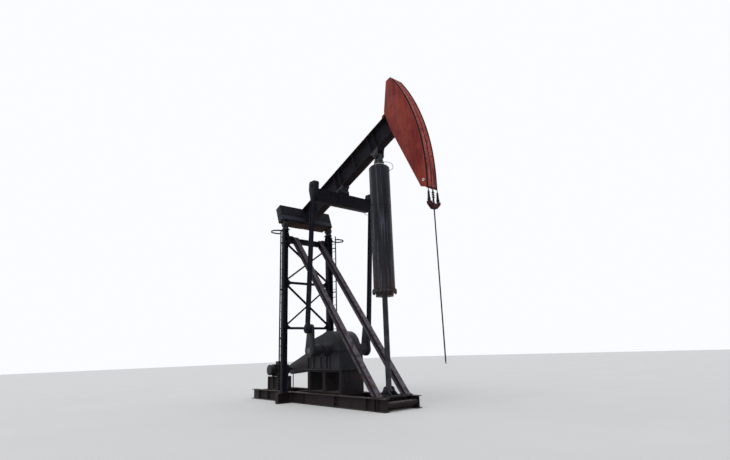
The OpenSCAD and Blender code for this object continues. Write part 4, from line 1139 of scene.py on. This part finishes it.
    def weld_face(self) -> None:
        """Adds the bead between the horsehead's sides and its face, painted pale as a highlight
        along that edge.
        """
        bm = bmesh.new()
        radius, first = self.face_r - self.face_bead_in, self.face_low + self.face_bead_spare
        reach = self.face_high - self.face_bead_spare - first
        for side in SIDES:
            route = []
            for k in range(self.face_bead_steps + 1):
                a = math.radians(first + reach * k / self.face_bead_steps)
                route.append(self.spot(radius * math.cos(a), side * self.face_bead_y,
                                       radius * math.sin(a)))
            sweep(bm, route, self.face_bead_mm, 6)
        self.shop.riding("face_welds", bm, self.shop.finish.red_weld, Slot.RED_BROWN, "beam")

    def lay_strips(self) -> None:
        """Lays the two wear strips on the horsehead's face, between the wirelines."""
        bm = bmesh.new()
        sunk, proud = self.face_r - self.strip_sunk, self.face_r + self.strip_proud
        reach = math.radians(self.face_high - self.face_low - 2 * self.strip_spare)
        first = math.radians(self.face_low + self.strip_spare + self.rise)
        pivot = (0, 0, self.pivot_z)
        near, far = self.strip_y
        for a, b in ((near, far), (-far, -near)):
            made_from = len(bm.verts)
            turned(bm, pivot, (0, -1, 0), [(sunk, a), (proud, a), (proud, b), (sunk, b)],
                   self.strip_steps, reach)
            bm.verts.ensure_lookup_table()
            bmesh.ops.rotate(bm, cent=pivot, verts=bm.verts[made_from:],
                             matrix=Matrix.Rotation(-first, 3, "Y"))
        self.shop.riding("face_strips", bm, self.shop.finish.strip, Slot.RED_BROWN, "beam")

    def ring_eyes_with_painted_light(self) -> None:
        """Adds pale rings round the horsehead's lifting eyes, painted light where the sky shows
        through them.
        """
        bm = bmesh.new()
        inner, outer = self.eye_r
        low, high = -self.eye_sunk, self.eye_proud
        for side in SIDES:
            turned(bm, self.spot(self.eye_u, side * self.head_half, self.eye_v), (0, side, 0),
                   [(inner, low), (outer, low), (outer, high), (inner, high)], self.eye_steps)
        self.shop.riding("lifting_eye_painted_light", bm, self.shop.finish.pale, Slot.RED_BROWN, "beam")

    def wrap(self) -> None:
        """Lays the wirelines over the face in short arcs, each a piece of its own."""
        pivot = Vector((0, 0, self.pivot_z))
        top = self.face_high + self.rise - self.arc_spare
        share = self.travel / (self.arcs - 1)
        for k in range(self.arcs):
            last = k == self.arcs - 1
            start, end = share * k + self.arc_gap, top if last else share * (k + 1)
            bm = bmesh.new()
            for side in SIDES:
                route = []
                for j in range(self.arc_steps + 1):
                    a = math.radians(start + (end - start) * j / self.arc_steps)
                    route.append(pivot + Vector((self.well * math.cos(a), side * self.rope.y,
                                                 self.well * math.sin(a))))
                self.rope.lay(bm, route)
            arc = self.shop.riding(f"wireline_arc_{k + 1}", bm, self.shop.finish.rope, Slot.STEEL,
                                   "beam", self.rope.smooth)
            if k == 0:
                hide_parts("wireline_wrap")
            if not last:
                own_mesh(arc)


@dataclass
class Hangers:
    """The equalizer with its pitmans, and the carrier with its rod."""

    shop: Workshop
    well: float = 6.59
    rope: Wireline = Wireline()
    rope_top: float = 6.4
    rope_low: float = 5.7503
    rope_steps: int = 30
    rod_low: float = 1.25
    rod_top: float = 6.03
    bar_low: float = 5.45
    rod_mm: float = 19.0
    rod_sides: int = 24
    rod_steps: int = 40
    pin_len: float = 0.06
    pin_gap: float = 0.0001
    pin_mm: float = 13.5
    pin_sides: int = 20
    threads: int = 9
    thread_pitch: float = 0.006
    thread_r: float = 0.0128
    thread_mm: float = 2.2
    # The socket over each wireline's end, as radius and height
    socket: tuple[tuple[float, float], ...] = (
        (0.0343, 5.665), (0.044, 5.665), (0.047, 5.69), (0.047, 5.735), (0.039, 5.76),
        (0.036, 5.79), (0.028, 5.96), (0.0155, 5.965), (0.0155, 5.751), (0.0343, 5.751))
    rib_x: float = 0.061
    rib_top: tuple[float, float] = (0.205, 5.655)
    rib_low: tuple[float, float] = (0.06, 5.475)
    rib_mm: float = 13.0
    stud_y: float = 0.208
    stud_z: tuple[float, float] = (5.60, 5.664)
    stud_mm: float = 12.0
    rib_sides: int = 8
    # Where the carrier's bolts stand, as y and z
    carrier_spots: tuple[tuple[float, float], ...] = (
        (-0.15, 5.635), (0.15, 5.635), (-0.05, 5.52), (0.05, 5.52))
    carrier_face: float = 0.06
    carrier_bolt_mm: float = 30.0
    lug_z: tuple[float, ...] = (5.7945, 5.8645, 5.9345)
    lug_y: tuple[float, float] = (0.022, 0.05)
    lug_mm: float = 17.0
    lug_sides: int = 8
    lug_bolt_y: float = 0.039
    lug_bolt_x: float = 0.0145
    lug_bolt_mm: float = 15.0
    grease_start: tuple[float, float, float] = (2.42, 1.13, 6.634)
    grease_end: tuple[float, float, float] = (2.42, 0.9, 6.634)
    grease_drop: float = 0.19
    grease_mm: float = 7.0
    grease_steps: int = 22
    fitting_mm: float = 14.0
    fitting_share: float = 0.14

    def build(self) -> None:
        """Dresses the hanging pieces and adds the wirelines, the rod and the small fittings."""
        shop, finish = self.shop, self.shop.finish
        shop.dress("equalizer", finish.beam, 5)
        for side in ("left", "right"):
            shop.dress("pitman_" + side, finish.post, 5)
        shop.dress("carrier_bar", finish.carrier, 4)
        shop.dress("rod_clamp", finish.clamp, 2)
        self.ropes()
        self.rod()
        self.sockets()
        self.carrier_bolts()
        self.clamp_lugs()
        self.grease_line()

    def sockets(self) -> None:
        """Adds the tapered sockets that hold the wirelines, and the carrier's ribs and studs."""
        bm = bmesh.new()
        for side in SIDES:
            turned(bm, (self.well, side * self.rope.y, 0), UP, self.socket)
            for way in SIDES:
                x = self.well + way * self.rib_x
                high, low = ((x, side * y, z) for y, z in (self.rib_top, self.rib_low))
                bar(bm, high, low, self.rib_mm, self.rib_sides)
                foot, head = ((x, side * self.stud_y, z) for z in self.stud_z)
                bar(bm, foot, head, self.stud_mm, self.rib_sides)
        self.shop.riding("carrier_sockets", bm, self.shop.finish.black, Slot.BLACK, "carrier")

    def carrier_bolts(self) -> None:
        """Adds the bolts through the carrier."""
        bm = bmesh.new()
        for way, (y, z) in product(SIDES, self.carrier_spots):
            bolt(bm, (self.well + way * self.carrier_face, y, z), (way, 0, 0),
                 self.carrier_bolt_mm)
        self.shop.riding("carrier_bolts", bm, self.shop.finish.worn_bolt, Slot.CARRIER, "carrier")

    def clamp_lugs(self) -> None:
        """Adds the lugs of the rod's upper clamps, with their bolts."""
        bm = bmesh.new()
        near, far = self.lug_y
        for z, side in product(self.lug_z, SIDES):
            bar(bm, (self.well, side * near, z), (self.well, side * far, z), self.lug_mm,
                self.lug_sides)
            for way in SIDES:
                bolt(bm, (self.well + way * self.lug_bolt_x, side * self.lug_bolt_y, z),
                     (way, 0, 0), self.lug_bolt_mm)
        self.shop.riding("clamp_lugs", bm, self.shop.finish.clamp, Slot.CARRIER, "carrier")

    def grease_line(self) -> None:
        """Adds the bent grease line under the equalizer's left end."""
        bm = bmesh.new()
        start, end = Vector(self.grease_start), Vector(self.grease_end)
        drop = Vector((0, 0, -self.grease_drop))
        route = interpolate_bezier(start, start + drop, end + drop, end, self.grease_steps)
        sweep(bm, route, self.grease_mm)
        for at in (start, end):
            bar(bm, at, at + drop * self.fitting_share, self.fitting_mm)
        self.shop.riding("equalizer_grease_line", bm, self.shop.finish.tube, Slot.BLACK,
                         "equalizer")

    def ropes(self) -> None:
        """Makes the two wirelines between the horsehead and the carrier."""
        bm = bmesh.new()
        length = self.rope_top - self.rope_low
        for side in SIDES:
            route = [(self.well, side * self.rope.y, self.rope_top - length * k / self.rope_steps)
                     for k in range(self.rope_steps + 1)]
            self.rope.lay(bm, route)
        bmesh.ops.recalc_face_normals(bm, faces=bm.faces)
        run = self.shop.piece("wireline_stretch", bm, self.shop.finish.rope, Slot.STEEL.value,
                              self.rope.smooth)
        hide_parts("wireline_run")
        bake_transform(run)

    def rod(self) -> None:
        """Makes the polished rod, with the thread on its lower pin."""
        bm = bmesh.new()
        foot = self.rod_low + self.pin_len
        body = [(self.well, 0, foot + (self.rod_top - foot) * k / self.rod_steps)
                for k in range(self.rod_steps + 1)]
        sweep(bm, body, self.rod_mm, self.rod_sides)
        pin = [(self.well, 0, self.rod_low), (self.well, 0, foot - self.pin_gap)]
        sweep(bm, pin, self.pin_mm, self.pin_sides)
        for k in range(self.threads):
            z = self.rod_low + (k + 1) * self.thread_pitch
            ring(bm, (self.well, 0, z), UP, self.thread_r, self.thread_mm, self.pin_sides)
        bmesh.ops.recalc_face_normals(bm, faces=bm.faces)
        rod = self.shop.piece("rod_with_thread", bm, self.shop.finish.rod, Slot.STEEL.value)
        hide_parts("polished_rod")
        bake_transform(rod)


@dataclass
class AirTank:
    """The air tank with its head, welds, bolts and air line, and the piston rod in it."""

    shop: Workshop
    x: float = 4.3525
    radius: float = 0.335
    shoulder: float = 7.42
    head_rise: float = 0.165
    head_power: float = 1.6
    head_steps: int = 10
    collar_r: float = 0.166
    collar_top: float = 7.634
    neck_cut: float = 7.66
    seam_z: tuple[float, ...] = (3.43, 4.72, 6.12)
    seam_mm: float = 5.0
    seam_steps: int = 72
    # The upright seam, as its place in x and y from the tank's axis and its two ends
    upright_at: tuple[float, float] = (0.18, -0.2828)
    upright_z: tuple[float, float] = (4.73, 6.11)
    upright_mm: float = 4.0
    bolt_ring: float = 0.35
    bolt_z: float = 3.43
    bolts: int = 16
    bolt_mm: float = 36.0
    seal_share: float = 0.79
    seal_out: float = 0.004
    seal_mm: float = 11.0
    seal_steps: int = 48
    seal_sides: int = 8
    line_mm: float = 8.0
    line_steps: int = 26
    line_way: tuple[float, float, float] = (0.64, 0.768, 0.0)
    # Upper and lower end of the air line: distance from the tank's axis, and height
    line_ends: tuple[tuple[float, float], ...] = ((0.148, 7.66), (0.333, 7.36))
    # How far its curve's two handles reach outwards and up from those ends
    line_handles: tuple[tuple[float, float], ...] = ((0.34, 0.05), (0.22, 0.03))
    fitting_ends: tuple[float, float] = (-0.004, 0.03)
    fitting_mm: float = 16.0

    def build(self) -> None:
        """Dresses the tank's nodes and adds its details."""
        shop, finish = self.shop, self.shop.finish
        shop.dress("air_tank", finish.tank, 0, self.trim_shell)
        shop.dress("tank_top", finish.tank, 4, self.draw_head)
        shop.dress("tank_bottom", finish.tank, 4)
        shop.dress("piston_rod", finish.piston, 3)
        self.seams()
        self.fasten()
        self.seal_neck()
        self.air_line()

    def trim_shell(self, bm: bmesh.types.BMesh) -> None:
        """Lowers the shell's upper rim to the head's weld.

        Args:
            bm: The shell's copy.
        """
        rim = [v for v in bm.verts if v.co.z > self.shoulder]
        bmesh.ops.translate(bm, verts=rim, vec=(0, 0, self.shoulder - rim[0].co.z))

    def head_profile(self) -> list[tuple[float, float]]:
        """Gives the collar's and the dished head's outline, from the neck down.

        Returns:
            Corners as distance from the tank's axis and height.
        """
        first = math.asin((self.collar_r / self.radius) ** (self.head_power / 2))
        share = 2 / self.head_power
        outline = [(self.collar_r, self.collar_top)]
        for k in range(self.head_steps + 1):
            a = first + (math.pi / 2 - first) * k / self.head_steps
            outline.append((self.radius * math.sin(a) ** share,
                            self.shoulder + self.head_rise * max(math.cos(a), 0.0) ** share))
        return outline

    def draw_head(self, bm: bmesh.types.BMesh) -> None:
        """Cuts the top at its neck and draws the collar and the head from the cut ring.

        Args:
            bm: The top's copy.
        """
        centre = Vector((self.x, 0, self.neck_cut))
        cut = bmesh.ops.bisect_plane(bm, geom=bm.verts[:] + bm.edges[:] + bm.faces[:],
                                     dist=SLIVER, plane_co=centre, plane_no=UP, clear_inner=True)
        rim = [g for g in cut["geom_cut"] if isinstance(g, bmesh.types.BMEdge)]
        r, z = (centre - rim[0].verts[0].co).length, self.neck_cut
        for to_r, to_z in [(r, self.collar_top)] + self.head_profile():
            grown = bmesh.ops.extrude_edge_only(bm, edges=rim)["geom"]
            rim = [g for g in grown if isinstance(g, bmesh.types.BMEdge)]
            corners = [g for g in grown if isinstance(g, bmesh.types.BMVert)]
            bmesh.ops.scale(bm, verts=corners, vec=(to_r / r, to_r / r, 1.0),
                            space=Matrix.Translation((-self.x, 0, -z)))
            bmesh.ops.translate(bm, verts=corners, vec=(0, 0, to_z - z))
            r, z = to_r, to_z
        bmesh.ops.edgeloop_fill(bm, edges=rim)
        bmesh.ops.recalc_face_normals(bm, faces=bm.faces)

    def seams(self) -> None:
        """Adds the weld seams round the shell, and the upright one between two of them."""
        bm = bmesh.new()
        for z in (*self.seam_z, self.shoulder):
            ring(bm, (self.x, 0, z), UP, self.radius, self.seam_mm, self.seam_steps)
        x, y = self.upright_at
        low, high = ((self.x + x, y, z) for z in self.upright_z)
        bar(bm, low, high, self.upright_mm)
        self.shop.riding("tank_seams", bm, self.shop.finish.weld, Slot.TANK, "tank")

    def fasten(self) -> None:
        """Adds the bolts round the tank's lower ring."""
        bm = bmesh.new()
        for k in range(self.bolts):
            a = k * math.tau / self.bolts
            bolt(bm, (self.x + self.bolt_ring * math.cos(a), self.bolt_ring * math.sin(a),
                      self.bolt_z), UP, self.bolt_mm)
        self.shop.riding("tank_bolts", bm, self.shop.finish.bolt, Slot.TANK, "tank")

    def seal_neck(self) -> None:
        """Adds the pale seal where the collar stands on the head."""
        bm = bmesh.new()
        height = self.shoulder + self.head_rise * self.seal_share
        ring(bm, (self.x, 0, height), UP, self.collar_r + self.seal_out, self.seal_mm,
             self.seal_steps, self.seal_sides)
        self.shop.riding("neck_seal", bm, self.shop.finish.pale, Slot.TANK, "tank")

    def air_line(self) -> None:
        """Adds the bent air line from the neck to the shell, in its fittings."""
        bm = bmesh.new()
        out = Vector(self.line_way)
        start, end = (Vector((self.x, 0, z)) + out * r for r, z in self.line_ends)
        leave, arrive = (out * r + Vector((0, 0, z)) for r, z in self.line_handles)
        route = interpolate_bezier(start, start + leave, end + arrive, end, self.line_steps)
        sweep(bm, route, self.line_mm)
        for at in (start, end):
            low, high = (at + out * r for r in self.fitting_ends)
            bar(bm, low, high, self.fitting_mm)
        self.shop.riding("neck_air_line", bm, self.shop.finish.tube, Slot.TANK, "tank")


def main() -> None:
    """Builds the machine's looks in order."""
    logging.basicConfig(level=logging.INFO, format="%(name)s: %(message)s")
    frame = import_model()
    ViewPoint().build()
    Studio().build()
    shop = Workshop(frame)
    for part in (Frame(shop), Drive(shop), Beam(shop), Hangers(shop), AirTank(shop)):
        LOG.info("building %s", type(part).__name__)
        part.build()


if __name__ == "__main__":
    main()
